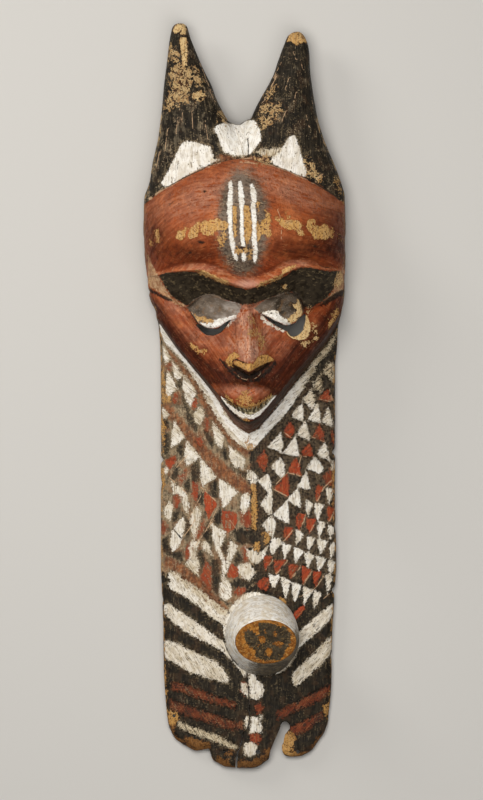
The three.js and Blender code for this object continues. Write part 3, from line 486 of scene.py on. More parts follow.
    ([(325.4, 574.6), (332.8, 577), (330.6, 586), (327.8, 594.4), (326, 584)], 0.3), ([(333.4, 458.6), (336, 466), (334.6, 471), (331.6, 470), (331.8, 463)], 0.55),
    # chevrons below the beard
    ([(168.5, 573), (172, 570.6), (178, 574), (186, 580.6), (196, 587), (206, 594), (216, 602.6), (229, 612.4), (229, 624), (222, 624), (214, 618.6), (206, 612.4), (198, 606),
      (188, 598.6), (178, 592.4), (170.4, 589.4), (168, 584), (171, 581), (168, 577)], 0.2),
    ([(162.4, 604.6), (168, 604), (174, 607.4), (185, 614.6), (200, 624.6), (213, 634.4), (226, 643), (232, 652), (240, 662), (247, 673), (245, 677), (238, 668), (229, 657.4),
      (219, 649), (208, 643.6), (196, 638), (184, 630.6), (172, 621), (162.6, 612)], 0.25),
    ([(163.6, 641), (168, 640.6), (176, 643.2), (190, 650), (205, 657), (218, 662.6), (224.6, 671), (229.4, 679), (227.6, 682.4), (220, 681.4), (206, 677.4), (190, 672.4),
      (176, 663.6), (165, 658.4), (162.6, 650)], 0.35),
    ([(176, 719.6), (182, 722), (190, 726.4), (200, 729.6), (211, 733), (222, 737), (232, 742), (236.6, 746.6), (233, 750), (226, 747.4), (217, 743), (207, 738.4), (197, 735.4),
      (187, 732), (180, 728.4)], 0.8),
    ([(334, 602.6), (335, 608), (334, 613.6), (327, 622.6), (317, 632.6), (307, 641), (297, 650.4), (295.6, 643), (297, 635), (304, 627.4), (313, 619.4), (323, 611)], 0.35),
    ([(333.6, 634), (333.4, 644), (331.6, 653.4), (324, 661), (314, 671), (304, 680.4), (297, 686.6), (293, 684.6), (291.8, 677), (294, 671.4), (301, 665), (311, 655.6), (322, 645)], 0.5),
    # under the boss
    ([(241.4, 683.6), (246, 684), (248.4, 690), (247.6, 697), (243.4, 694), (240.8, 689)], 0.6),
    ([(249, 672), (255, 673.6), (257, 680), (262, 684), (264.4, 690), (262, 697), (256, 699.6), (250.6, 698), (249.6, 690), (249, 682)], 0.25),
    ([(245.6, 716), (248.6, 718), (248.2, 727.6), (245.6, 728.4), (244.6, 722)], 0.35), ([(252, 716.4), (257, 717.6), (259.6, 722), (262.4, 728), (261.6, 733.6), (256, 731), (250.4, 733.4), (249.6, 725)], 0.25),
    ([(260, 714.6), (262.6, 716), (261.6, 719.4), (259.4, 718)], 0.4),
    ([(245.6, 743), (251.6, 742.6), (257.8, 747), (256.6, 752), (250.6, 756.6), (244.6, 755), (243.6, 748)], 0.3),
]
V_BAND = [(158.5, 325), (160, 322), (166.5, 333), (174, 344), (178, 350), (186.5, 360), (195, 370), (204, 380), (211.4, 390), (217.8, 400), (223.6, 410), (231, 420), (236, 425.4), (242, 430.6), (249, 434.2),
          (259, 429.4), (267, 419.6), (275, 409.6), (283, 399.4), (291, 389.6), (299.5, 379.6), (307.5, 369.4), (315, 359), (323, 348.6), (331, 338.6), (337.5, 331), (338.8, 335), (335, 341), (328.4, 351),
          (321.6, 361), (314.8, 371), (308.4, 380), (302, 390), (295.2, 400), (288.4, 410), (279.6, 420), (270, 430), (261, 440), (255, 446.6), (251, 450), (246, 448.6), (238, 443.4), (232, 438), (225.2, 430),
          (218.2, 420), (212.2, 410), (206.6, 400), (201.4, 390), (195.2, 380), (188.2, 370), (181.2, 360), (172, 350), (166.7, 345), (162, 335)]
# edge of the white coat where it spreads from the boss on to the board
COLLAR = [(222.5, 625), (224.5, 618), (229, 610), (233, 604.5), (240, 597.4), (248, 593.2), (256, 592.2), (262, 594), (268, 595), (275, 600), (283, 608), (288, 615), (293, 622), (296.5, 630), (298.4, 638),
          (298.6, 646), (296.5, 656), (288, 667.4), (278, 673.4), (265, 675.4), (254, 674), (247, 672.6), (240, 667), (235, 660), (231, 653), (228, 648), (225.6, 640), (223.6, 632)]
BOSS_DARK = [(258, 622), (262, 621.5), (270, 622.4), (280, 625), (288, 628.6), (291, 633), (290, 640), (288, 646), (285, 652), (284, 657), (278, 660.6), (270, 661.6), (262, 660), (256, 657), (252, 652), (249, 646), (245.5, 641),
             (244.4, 636), (245, 632), (248, 629), (253, 630), (257, 634), (259, 632), (258, 627)]
BOSS_SPOTS = [((262, 639), 3.4, 3.6), ((251.6, 651), 4.8, 4.0), ((268.6, 651.6), 3.6, 4.2), ((278.6, 642.6), 4.4, 2.2), ((275.6, 633.6), 1.6, 2.6), ((286.4, 655), 3.2, 3.0), ((256, 661.4), 7, 2.2), ((272, 660.6), 5, 1.4),
              ((255.6, 626.6), 3.0, 4.4), ((264.6, 630.4), 1.2, 1.6), ((258.4, 644.6), 1.4, 1.0)]
RED = [
    ([(161, 520), (166, 521), (168, 528), (165, 535), (161, 534)], 0.5), ([(323, 476), (330, 470), (335, 474), (333.6, 486), (326, 484)], 0.5), ([(196, 437), (201, 436), (204, 442), (201, 447), (196.6, 443)], 0.7),
    ([(333, 498), (336.4, 496), (336.4, 520), (333.6, 516)], 0.6),
    ([(165, 365), (171.5, 361.5), (172.4, 371), (168, 370)], 0.5), ([(172, 397), (176, 391), (178, 395), (177.6, 401), (173.4, 405)], 0.35),
    ([(192.6, 396.4), (196, 398.6), (198.4, 405), (193.6, 411), (191, 405)], 0.15), ([(205, 414), (210, 424), (207.6, 431), (203.4, 424)], 0.45),
    ([(165, 461), (170, 457), (175.6, 456), (177, 461.6), (171, 469), (166.4, 467)], 0.2), ([(179, 477), (186.4, 469), (185.6, 480), (181, 487.4), (178, 484)], 0.4),
    ([(192.4, 482), (198.2, 483), (198.6, 494), (195.4, 500.6), (192, 494)], 0.25), ([(205, 491.6), (211, 496.6), (218, 504.4), (213, 511), (208.6, 519.6), (205, 510), (204.2, 499)], 0.0),
    ([(223, 510), (230, 511), (237, 513.6), (238, 521), (233, 529), (229, 533.4), (224, 529), (221, 519)], 0.15), ([(172.4, 496), (178, 491.4), (180.4, 500), (177.4, 511), (173, 508)], 0.4),
    ([(204, 519.6), (204.6, 527), (201, 535), (197.4, 541.6), (196, 534), (199, 526)], 0.4), ([(185, 547.6), (190, 542), (193, 549), (190.4, 556), (187, 561), (185, 554)], 0.35),
    ([(206, 561), (211, 566), (211.4, 578), (210, 591), (205, 585), (200, 580), (202.6, 570)], 0.3), ([(227.6, 570), (232, 563.4), (238, 567.6), (238.6, 576), (233.6, 578.4), (227.4, 577)], 0.1),
    ([(242, 548), (246, 544.4), (249.6, 552), (249.6, 558), (245.4, 561.4), (242.6, 556)], 0.4), ([(233, 592), (239, 587), (246, 587.6), (246, 591), (239.6, 597.6)], 0.3),
    ([(257, 583), (263, 578), (269, 576.4), (269.4, 587), (266, 591), (259, 588)], 0.2), ([(241, 512), (247, 510), (252.4, 514), (252, 524), (247, 529), (241.4, 524)], 0.45),
    ([(290, 420.8), (294.6, 430), (291, 438), (287.6, 438), (283, 431)], 0.15), ([(319.4, 423.6), (324, 433), (323.4, 441.4), (312.6, 437)], 0.3), ([(332, 430), (335, 435), (334.6, 447), (331, 441)], 0.35),
    ([(328, 388.6), (331, 396), (334, 402), (320, 399.4), (323, 393)], 0.35), ([(309.6, 443), (312, 450), (313, 457.6), (300.6, 455), (304, 448)], 0.2),
    ([(264, 450), (268, 459.6), (266, 466), (264, 471.6), (256, 462), (259, 456)], 0.25), ([(296, 457.6), (300, 466), (301, 475.6), (288, 472.4), (291, 464)], 0.1),
    ([(286.6, 474), (289, 486), (288.6, 497), (280, 492), (273.4, 488), (280, 482)], 0.15), ([(316.4, 485.6), (323.8, 487), (321, 493), (317.4, 501), (315, 494)], 0.2),
    ([(296.6, 513), (305, 514), (303, 522), (300, 530), (297.6, 529), (296, 521)], 0.05), ([(307, 518), (316.4, 518.6), (314, 526), (309.4, 534), (306.6, 526)], 0.1),
    ([(284.6, 526.4), (293.4, 528.4), (291, 534), (286, 541), (284, 534)], 0.1), ([(326.6, 507), (335, 508), (333, 514), (329.4, 521), (327, 514)], 0.2),
    ([(264, 556), (271.6, 556), (270.6, 562), (266, 570), (263.4, 564)], 0.15), ([(274, 560), (286, 559.6), (282, 566), (276, 574.6), (274, 567)], 0.1),
    ([(288, 563), (299, 566), (295, 571), (290.6, 580), (288.4, 572)], 0.1), ([(301.6, 565), (311.8, 570.4), (307.6, 577), (303.4, 585), (301.4, 576)], 0.1),
    ([(313, 571), (321.4, 571.4), (319.6, 578), (315.6, 587.6), (313, 579)], 0.1), ([(293.6, 614), (299, 607.6), (304.4, 604.4), (304.6, 609), (299, 616), (294.6, 621)], 0.05),
    # bands under the chevrons
    ([(172, 682), (185, 685), (198, 690.4), (210, 694.4), (222, 698.6), (236, 704), (236, 709), (224, 705.6), (210, 702), (196, 697.6), (184, 692), (172, 689)], 0.75),
    ([(170, 700), (180, 703.6), (190, 707), (204, 711), (220, 717.6), (234, 721.6), (243, 723), (243, 729.4), (232, 728.6), (216, 725), (202, 720.6), (188, 716), (176, 712), (170, 709)], 0.85),
    ([(277, 712), (290, 706), (302, 700), (315, 692), (330, 685.6), (331.6, 691), (320, 699.4), (306, 706.4), (292, 713), (278, 720)], 0.75),
    ([(290, 728), (300, 723.4), (311, 718), (322, 712.6), (322.6, 718), (312, 725.6), (302, 732), (292, 735.6)], 0.7),
    ([(242, 682), (247, 683.4), (248, 692), (245, 696.4), (241, 691)], 0.35), ([(254.6, 705), (260, 703.6), (263, 708), (261, 714), (256.4, 714)], 0.4), ([(250, 734), (257, 733), (261, 737), (258, 744), (251, 742)], 0.35),
]
BROWN = [
    ([(166, 346), (171, 350.6), (180.5, 360.6), (189, 370.6), (198, 380.6), (204, 390.6), (210, 400.6), (215.3, 410.6), (220.5, 420.6), (229, 430.6), (238, 440.6), (246, 447), (250, 450), (250, 454),
      (244, 454.4), (236, 449.4), (228, 441.4), (220, 432), (212, 421.6), (205, 411.6), (199.6, 400.4), (195.6, 390.4), (188, 380.6), (180.4, 370.4), (173, 360.4), (167, 352)], 0.45),
    ([(162, 401), (168, 404), (175, 411.6), (184, 422), (194, 434), (204, 444.6), (215, 455), (226, 465), (237, 474), (248, 482), (252, 492), (247, 497), (238, 491), (226, 483), (216, 475.6),
      (205, 464), (195, 452), (184, 438), (174, 425), (163, 412)], 0.3),
    ([(163.6, 555), (172, 558), (182, 564), (190, 569.6), (199, 578), (209, 588), (218, 598), (228, 608), (227, 614), (220, 611.6), (208, 603), (196, 592), (184, 583), (172, 571), (164, 564)], 0.55),
    # strip between the white patches and the forehead
    ([(213, 160.5), (220, 156), (226, 155.4), (236, 158), (245, 158), (254, 156.6), (262, 157.6), (269, 158.4), (271, 163), (262, 162.6), (250, 160.4), (240, 159.4), (230, 160.4), (220, 163), (213, 165.5)], 0.6),
    # left side of the chin
    ([(226, 411), (233, 415), (240, 420), (243, 424), (240, 427), (233, 420), (226, 414)], 0.6),
]
DARK = [
    # the first two: the creases between the temples and the cheeks, painted shadow
    ([(146, 286), (152, 289.6), (160, 293.8), (168, 297.6), (174, 301), (169, 301.8), (161, 298), (153, 294), (147, 289.6)], 0), ([(346, 289), (338, 291.4), (330, 296.4), (323, 302), (319, 306), (325, 306.4), (334, 300), (346, 294.4)], 0),
    # underside of the nose, corners of the wings: black paint and painted shade
    ([(219, 359), (224, 362), (230, 368.4), (236, 373.4), (240, 377), (247, 380), (254, 380), (262, 374.6), (270, 366), (275, 360.4), (277, 363), (272, 370), (264, 378), (256, 382.6),
      (246, 382), (238, 379.4), (230, 373), (223, 366)], 0.0),
    ([(223.6, 361.4), (233, 365.6), (240, 368), (247, 372.6), (253, 371.6), (258, 366.4), (266, 362.4), (272.6, 360), (268, 366.6), (262, 373), (254, 379), (246, 379.4), (240, 377), (232, 370.4)], 0.0),
    # mouth opening
    ([(221, 396), (226, 399), (232, 402), (238, 405.5), (245, 407.2), (255, 406.2), (262, 402), (269, 398.4), (275.6, 395), (270, 400.6), (265, 406.6), (260, 410.6), (256, 413.4), (252, 415.4),
      (248, 415.4), (242, 413.4), (235, 408.6), (230, 404.6), (225, 400.6)], 0.2),
    # beard, left half
    ([(176, 384), (180, 379.6), (184, 384), (180.6, 391)], 0.0), ([(176, 448), (183.4, 440), (185, 458), (179, 455)], 0.2), ([(190, 466), (198, 459), (200.4, 472), (200, 481), (193, 484)], 0.5),
    ([(208.4, 483), (217, 477.6), (219, 490), (218.6, 499), (211, 496)], 0.35), ([(170.6, 478), (177.4, 463.6), (178.6, 470), (177.6, 476), (172, 483)], 0.0), ([(183.4, 484), (189.4, 478), (190, 488), (186.6, 496)], 0.1),
    ([(197.4, 495), (204, 491), (203.4, 500), (201.6, 506), (198, 502)], 0.1), ([(210, 521), (216, 514), (220.4, 506.6), (222, 516), (222.4, 522), (217.4, 527.4)], 0.0),
    ([(172, 512), (179.6, 511), (178, 519), (175, 525), (171.4, 520)], 0.1), ([(184.6, 518), (191.4, 519), (192.2, 530), (188, 537.6), (184.6, 532)], 0.1), ([(205, 526), (210.4, 518.6), (213, 533), (212.6, 546), (207, 543), (203, 536)], 0.0),
    ([(221.6, 540), (226, 537), (229, 548), (226, 558.4), (221.4, 551), (220, 546)], 0.25), ([(233, 560), (237.4, 550), (243, 557), (243, 563), (236.4, 563.6)], 0.2), ([(197, 552), (203, 549), (205, 560), (201.6, 571), (198.6, 562)], 0.15),
    ([(212, 559), (218.4, 560), (220.6, 580), (217.6, 597), (212.6, 590), (211.4, 574)], 0.05), ([(229, 582.6), (240, 578.4), (250, 578), (263, 571.4), (264, 575), (254, 583), (240, 588), (232, 590)], 0.0),
    ([(162, 540), (167.6, 536), (170, 546), (176, 552), (181.6, 550), (182.4, 561), (172, 557), (162.6, 552)], 0.15), ([(246, 530), (255, 532), (262, 533), (262, 543), (254, 545), (246.4, 543)], 0.15),
    ([(232, 530), (242, 528), (249, 532), (249, 542), (243, 545), (236, 541)], 0.2), ([(188, 412), (193, 416), (198, 427), (196, 433), (190, 425), (186, 418)], 0.45), ([(182, 392), (186, 401), (190, 409), (188, 413), (183, 404), (181, 397)], 0.3),
    ([(204, 430), (210, 432), (216, 444), (212, 447), (206, 439)], 0.4), ([(222, 446), (227, 448), (230, 459), (225, 460), (221, 452)], 0.3), ([(162, 416), (168, 418), (169, 428), (163, 430)], 0.35),
    ([(163, 434), (169, 433), (170, 449), (165, 455), (162, 446)], 0.35), ([(232, 462), (240, 471), (250, 471), (246, 480), (238, 473)], 0.3), ([(250, 455), (257, 455), (262, 466), (258, 478), (252, 470)], 0.1),
]
WEAR = [
    ([(281, 733), (288, 731), (293, 733), (296, 738), (294, 742), (293, 748), (296, 753), (299, 757), (294, 757.6), (288, 756), (284, 752), (281.6, 745)], 0.35),
    # horns
    ([(173, 31), (175, 27), (178, 24), (182, 22.6), (185.4, 25), (186, 29), (185, 35), (181, 34.4), (178, 33), (175, 33)], 0.1),
    ([(180.4, 38.6), (186.2, 38), (186.8, 45), (187.2, 52), (186.8, 60), (186.4, 66), (183.6, 67), (182, 60), (181.4, 50), (180.2, 44)], 0.1),
    ([(186, 66), (190, 73), (192, 79), (191.5, 83), (189, 87), (189, 93), (186.5, 97), (187, 101), (183, 103), (178, 104), (171, 107), (166, 110), (166, 104), (169, 98), (172, 92), (173, 86), (172, 78), (171, 72),
      (175, 66), (180, 62), (183, 66)], 1.02),
    ([(168, 44), (171, 46), (173, 54), (171, 61), (168, 58), (167, 50)], 0.95), ([(175, 50), (178, 56), (176, 62), (173, 58)], 0.95), ([(192, 94), (196, 92.4), (202, 93), (204.4, 96), (202, 100), (196, 100.4), (192, 98)], 0.5),
    ([(195, 70), (199, 76), (201, 84), (198, 84), (195, 78)], 0.95), ([(287, 42), (289, 36), (292, 33), (297, 31), (302, 32.5), (305.6, 37), (307, 42.6), (302, 42.5), (299, 43.5), (297, 46), (293, 43), (290, 40.6)], 0.12),
    ([(262, 107), (269, 106), (267, 112), (261, 115)], 1.0), ([(270, 110), (281, 105), (282, 108), (274, 113)], 1.0), ([(262, 120), (270, 117), (277, 114), (275, 120), (268, 125), (262, 128), (259, 126)], 1.0), ([(219, 113), (225, 112), (229, 117), (227, 122), (221, 121)], 0.85),
    ([(266, 96), (271, 90), (275, 87), (274, 92), (268, 99)], 1.0), ([(305.6, 160), (309, 161), (313, 167), (315, 174), (311, 176), (307, 172)], 0.95), ([(316, 174), (321, 178), (320, 181), (315, 177)], 0.8),
    ([(336, 178), (341, 176), (345, 188), (344, 196), (339, 190)], 0.95), ([(255, 158), (268, 159), (269, 164), (258, 163)], 1.0),
    # ridge of the forehead
    ([(176, 238.5), (177, 235), (178, 232.5), (181, 231.5), (185, 232), (186, 234), (185, 237), (183, 239), (182, 242), (179, 240)], 0.15),
    ([(188, 237), (189.5, 233), (190.5, 229.5), (193, 227), (196, 225), (199, 222), (200, 225), (199, 229), (198, 233), (197.5, 237), (193, 239.5), (190, 239)], 0.15),
    ([(200.5, 226), (203, 223), (205, 222), (208, 221.5), (211, 220.5), (213, 221), (216, 220), (217, 219), (219, 220), (222, 222), (225, 222), (227.4, 223.5), (227.6, 227), (226.5, 230), (223, 231), (218, 230),
      (215, 231.5), (213, 235.5), (208, 236), (203, 235), (201, 232)], 0.15),
    ([(185, 229), (187.4, 229.5), (186.5, 231.8), (184.5, 231)], 0.3), ([(218, 238), (221, 236.5), (225, 237), (226, 240), (224.5, 244), (222, 247), (219.5, 244), (217.5, 241)], 0.45),
    ([(222, 233), (225, 232), (226.4, 235), (223, 236)], 0.3), ([(232.8, 206), (236, 208), (236.6, 216), (236, 228), (236.6, 236), (234.6, 238.5), (233.6, 230), (233, 218)], 0.15),
    ([(244, 206), (249, 207), (250.6, 215), (251.4, 225), (251.6, 232), (249.6, 240), (247, 246), (245, 240), (244.2, 230), (244, 218)], 0.12),
    ([(257, 222), (260, 223.5), (263, 223), (266, 219.5), (266.5, 214), (264, 211.5), (265, 210.5), (268, 213), (269.5, 217), (270, 222), (269, 228), (271, 233), (271, 237), (268, 238), (264, 234.5), (261, 234),
      (260, 238), (258, 242), (257.4, 236), (257, 228)], 0.25), ([(256.5, 204), (259, 203), (259.5, 207), (258, 212), (256.8, 209)], 0.3),
    ([(274, 219), (276, 217.6), (279, 219), (283, 220.5), (287, 221), (292, 220.5), (298, 221.5), (301, 224), (301.5, 227), (300, 229.5), (303, 231.5), (304, 235), (301, 236.5), (298, 235.5), (297, 232),
      (293, 230), (288, 230), (284, 228.5), (280, 226), (279, 222.5), (276, 221)], 0.2),
    ([(307, 222), (309, 220.5), (313, 219.5), (315, 222), (315, 227), (319, 227.5), (322, 226), (325, 224.5), (328, 226), (329, 231), (329.6, 238), (325, 239.5), (318, 239.5), (314, 239), (312, 235), (308, 231),
      (306.4, 227)], 0.12), ([(331, 229), (332.6, 234), (332.6, 238), (330.8, 238)], 0.4), ([(340.6, 235), (342.6, 236), (343.2, 243), (341, 244)], 0.4), ([(144.6, 252), (147.6, 254), (149.4, 262), (149.6, 272), (148.6, 284), (144.6, 285)], 0.4), ([(287, 213), (288.2, 213), (289.6, 220), (288.4, 220)], 0.6),
    ([(235, 248), (238, 247.5), (241, 250), (246, 249.5), (248, 252), (246, 253), (241, 252.5), (238, 255.5), (235, 253.5), (234, 250)], 0.35), ([(156.2, 231), (157.8, 230.5), (158, 237), (156, 241), (155.4, 237)], 0.4),
    ([(149, 240), (151, 241), (151.5, 246), (149.5, 244)], 0.4), ([(145.2, 234), (147, 236), (146.6, 244), (145, 243)], 0.4), ([(158.4, 237), (159.8, 238), (159, 243), (157.8, 242)], 0.4), ([(250, 250), (252, 248), (252, 256), (250, 259), (248, 256)], 0.7),
    # lower edge of the brow lip
    ([(196, 271), (202, 270.6), (209, 273.4), (217, 277.4), (226, 281), (231, 284.6), (226, 284.4), (215, 280.4), (206, 276.4), (198, 273.4)], 0.2), ([(256, 286), (264, 282.4), (273, 278.6), (282, 274.4), (283, 277), (274, 281.4), (264, 285.4), (257, 288)], 0.25),
    ([(281, 271.6), (288, 267.4), (295, 266.6), (290, 271), (283, 275)], 0.2), ([(282, 286), (286.4, 285.4), (285.6, 289), (282.4, 288.6)], 0.25), ([(337, 275), (343, 268), (343.4, 283), (337.4, 288), (334.6, 286)], 0.45),
    # lids, broken corner of the eye
    ([(195, 315.4), (200, 317.4), (205, 319.4), (210.4, 319), (213, 321), (210, 323.2), (203, 323.2), (197.6, 320)], 0.3),
    ([(297.4, 298), (299, 300), (299.6, 304), (301.2, 307), (301.8, 311), (303, 313.6), (300.4, 316), (297.4, 319), (295, 321.6), (291.4, 324), (288, 323), (288, 319), (291, 316), (294, 314), (296, 312), (297, 310), (294, 308), (292.4, 305),
      (296, 304.5), (297, 302)], 0.12),
    ([(304.4, 314), (307, 317), (308.8, 321), (310.2, 327), (309.8, 332), (308.2, 336), (305, 339.4), (299, 340.2), (293, 338.8), (288.6, 336), (286.6, 333), (288.6, 329), (296, 331), (302, 326), (304, 320)], 0.0),
    ([(306, 309.4), (309, 307.6), (308.4, 313), (306.8, 315)], 0.7), ([(313, 324), (314.6, 324), (316.4, 335), (315, 336)], 0.7), ([(313, 338), (316, 336.6), (317, 339), (313.6, 340.6)], 0.4), ([(302, 343), (306, 341), (308, 343), (303, 346.4)], 0.7),
    # nose
    ([(225.6, 360.4), (228, 357), (231, 354.5), (233, 353), (236, 352.5), (238, 355), (239.6, 357), (237, 358.6), (233, 359.6), (232.2, 362), (232.5, 366.4), (229, 366.4), (227, 363)], 0.15),
    ([(233.2, 366.8), (234, 361.8), (238, 361), (243, 363.6), (248, 364.3), (253, 363.3), (256, 361), (258, 357), (262, 355.2), (267, 355.2), (271, 357.6), (273.6, 360), (269, 362), (262, 366), (257, 369.5), (252, 372.5), (249, 373.6),
      (246, 371.8), (240, 368.8), (236, 367.6)], 0.04),
    ([(256.6, 330), (260, 334), (262.4, 338), (264.4, 344), (262, 349.6), (259, 346.4), (260, 341), (255.6, 337), (254, 332)], 0.7), ([(249.6, 330), (252, 331), (254, 336), (251.4, 337.6), (249.6, 334)], 0.6), ([(250, 317), (253, 318), (253.4, 323), (250.6, 323)], 0.8),
    # cheek, lip, chin
    ([(191, 343.6), (194.6, 345.6), (199, 349.6), (207, 351.6), (206, 353.4), (198, 352.6), (193, 349)], 0.35), ([(238, 399), (240.4, 395.6), (244, 392), (247.4, 391), (249.4, 394), (250, 398), (252, 401), (254.4, 404), (250, 406.4), (245, 405), (240.6, 403)], 0.6),
    ([(226, 396.6), (232, 400.8), (240, 404.8), (248, 406), (256, 404.8), (264, 399.8), (271, 395.4), (271, 397), (264, 401.8), (256, 406.4), (247, 407.8), (239, 406.2), (231, 402.2)], 0.45), ([(243, 419), (250, 419.6), (250, 421.6), (243.6, 421)], 0.3), ([(244, 424), (250, 424), (249, 429), (245, 428.6)], 0.4),
    ([(336, 308), (338.4, 312), (333, 322), (329, 328), (328, 325), (332.6, 316)], 0.45),
    # small bare places down the beard
    ([(251.6, 484), (255.4, 485), (256.4, 500), (256.6, 515), (256, 530), (252.6, 529), (251.4, 512), (251.8, 497)], 0.3), ([(254, 543), (259, 542), (259.6, 549), (254.6, 550)], 0.35),
    ([(161, 366), (163.6, 371), (165, 386), (166, 402), (162.4, 405), (161.4, 385)], 0.5), ([(166.6, 396), (170, 394), (171.4, 400), (168, 403.4)], 0.4), ([(263.6, 533), (268, 534), (269, 540), (266, 544), (263, 540)], 0.6), ([(280, 596), (284, 600), (287, 607), (283, 608), (278.4, 602)], 0.3),
    ([(246.6, 440.6), (250, 441), (253.4, 446), (251, 449.6), (247, 446.4)], 0.75), ([(162, 420), (165, 424), (164, 440), (161.6, 452), (161.4, 430)], 0.5), ([(161.4, 466), (165, 470), (164, 486), (161.6, 494)], 0.45),
    ([(333.4, 470), (336, 474), (336, 500), (334.4, 512), (333.4, 490)], 0.5),
    # lower edge
    ([(170, 711), (177, 712.6), (178.4, 720), (174.6, 724), (173, 732), (178, 739), (184, 742), (180, 744), (174, 738.6), (170, 728), (169, 718)], 0.3),
    ([(185, 737), (192, 738), (200, 741), (209, 743), (209, 748.6), (202, 752), (193, 751), (187, 747.6)], 0.25), ([(217, 757), (223, 760), (229, 760.4), (229, 768), (222, 768), (215, 763)], 0.35), ([(226, 750), (232, 750), (231, 756), (227, 756)], 0.6),
    ([(236, 762), (244, 760), (252, 762), (260, 758), (266, 750), (270, 748), (268, 757), (262, 766), (250, 770), (236, 769)], 0.5),
    ([(284, 732), (289.6, 731), (292, 736), (289, 744), (292, 752), (298, 754), (306, 751.6), (303, 757), (294, 759), (286, 755), (281, 750), (282.4, 741)], 0.05), ([(314, 744), (318, 738), (323, 733), (322, 738), (316, 746), (311, 751)], 0.4),
    ([(323, 706), (328.6, 702), (329.6, 714), (325, 716)], 0.3), ([(160.6, 596), (163, 602), (163.6, 640), (165, 690), (168, 716), (165, 716), (161.4, 660)], 0.4),
]
BAND = [(159, 275.6), (165, 273.6), (172, 272.6), (185, 271.8), (197, 272), (205, 275.6), (215, 279.6), (225, 283.6), (235, 286.8), (245, 289.6), (250, 289.8), (258, 287), (268, 283.6), (278, 279.6), (287, 275.4), (292, 271.4),
        (300, 268.6), (310, 268), (320, 270), (330, 271.6), (339.6, 271), (338, 280), (333, 290), (327, 298), (320, 303), (310, 309), (303, 307), (298, 297.6), (292, 292.5), (288, 293.5), (278, 296), (268, 299), (258, 303),
        (250, 304.6), (240, 304.6), (232, 302.4), (222, 299.4), (215, 296.4), (207, 295.4), (200, 297.4), (192, 302.4), (187, 306.4), (183, 304), (172, 297), (165, 287)]
LIDS = [
    ([(187, 307.6), (190, 304), (194, 300), (200, 297), (207, 294.4), (214, 294.6), (219, 297), (223, 300), (230, 301.5), (236, 303), (241, 305.4), (240, 312), (236, 316), (231, 317), (222, 319.6), (212, 322), (206, 326), (200, 325),
      (195, 319), (190.6, 313)], 0),
    ([(254.6, 308.6), (260, 304), (265, 300.5), (270, 298), (275, 296), (280, 294), (285, 292.5), (290, 292), (295, 293.5), (299, 296), (301, 299), (303.6, 305), (303, 314), (298, 321), (290, 324), (281, 320), (277, 313.6), (270, 312),
      (263, 315), (258.6, 313.6)], 0)]
TEMPLES = [
    ([(145.6, 254), (149, 256), (152, 264), (158, 276), (165, 287.6), (172, 297.6), (186.4, 306.4), (180, 306), (170, 301), (160, 293), (150, 286.6), (145, 284)], 0.2),
    ([(346, 261), (343.6, 263), (339.6, 272), (338, 281), (334, 290), (328, 298), (321, 304), (330, 300), (340, 293), (346, 288)], 0.35)]
TEETH = [(223, 398.4), (228, 401.2), (234, 405), (241, 407.2), (250, 407.4), (258, 404.8), (265, 400.4), (271, 395.6), (275, 394.8), (270, 400.8), (264, 406.6), (259, 411), (254, 413.8), (249, 415), (244, 413.2), (239, 410.4),
         (234, 407.4), (228, 403.4)]
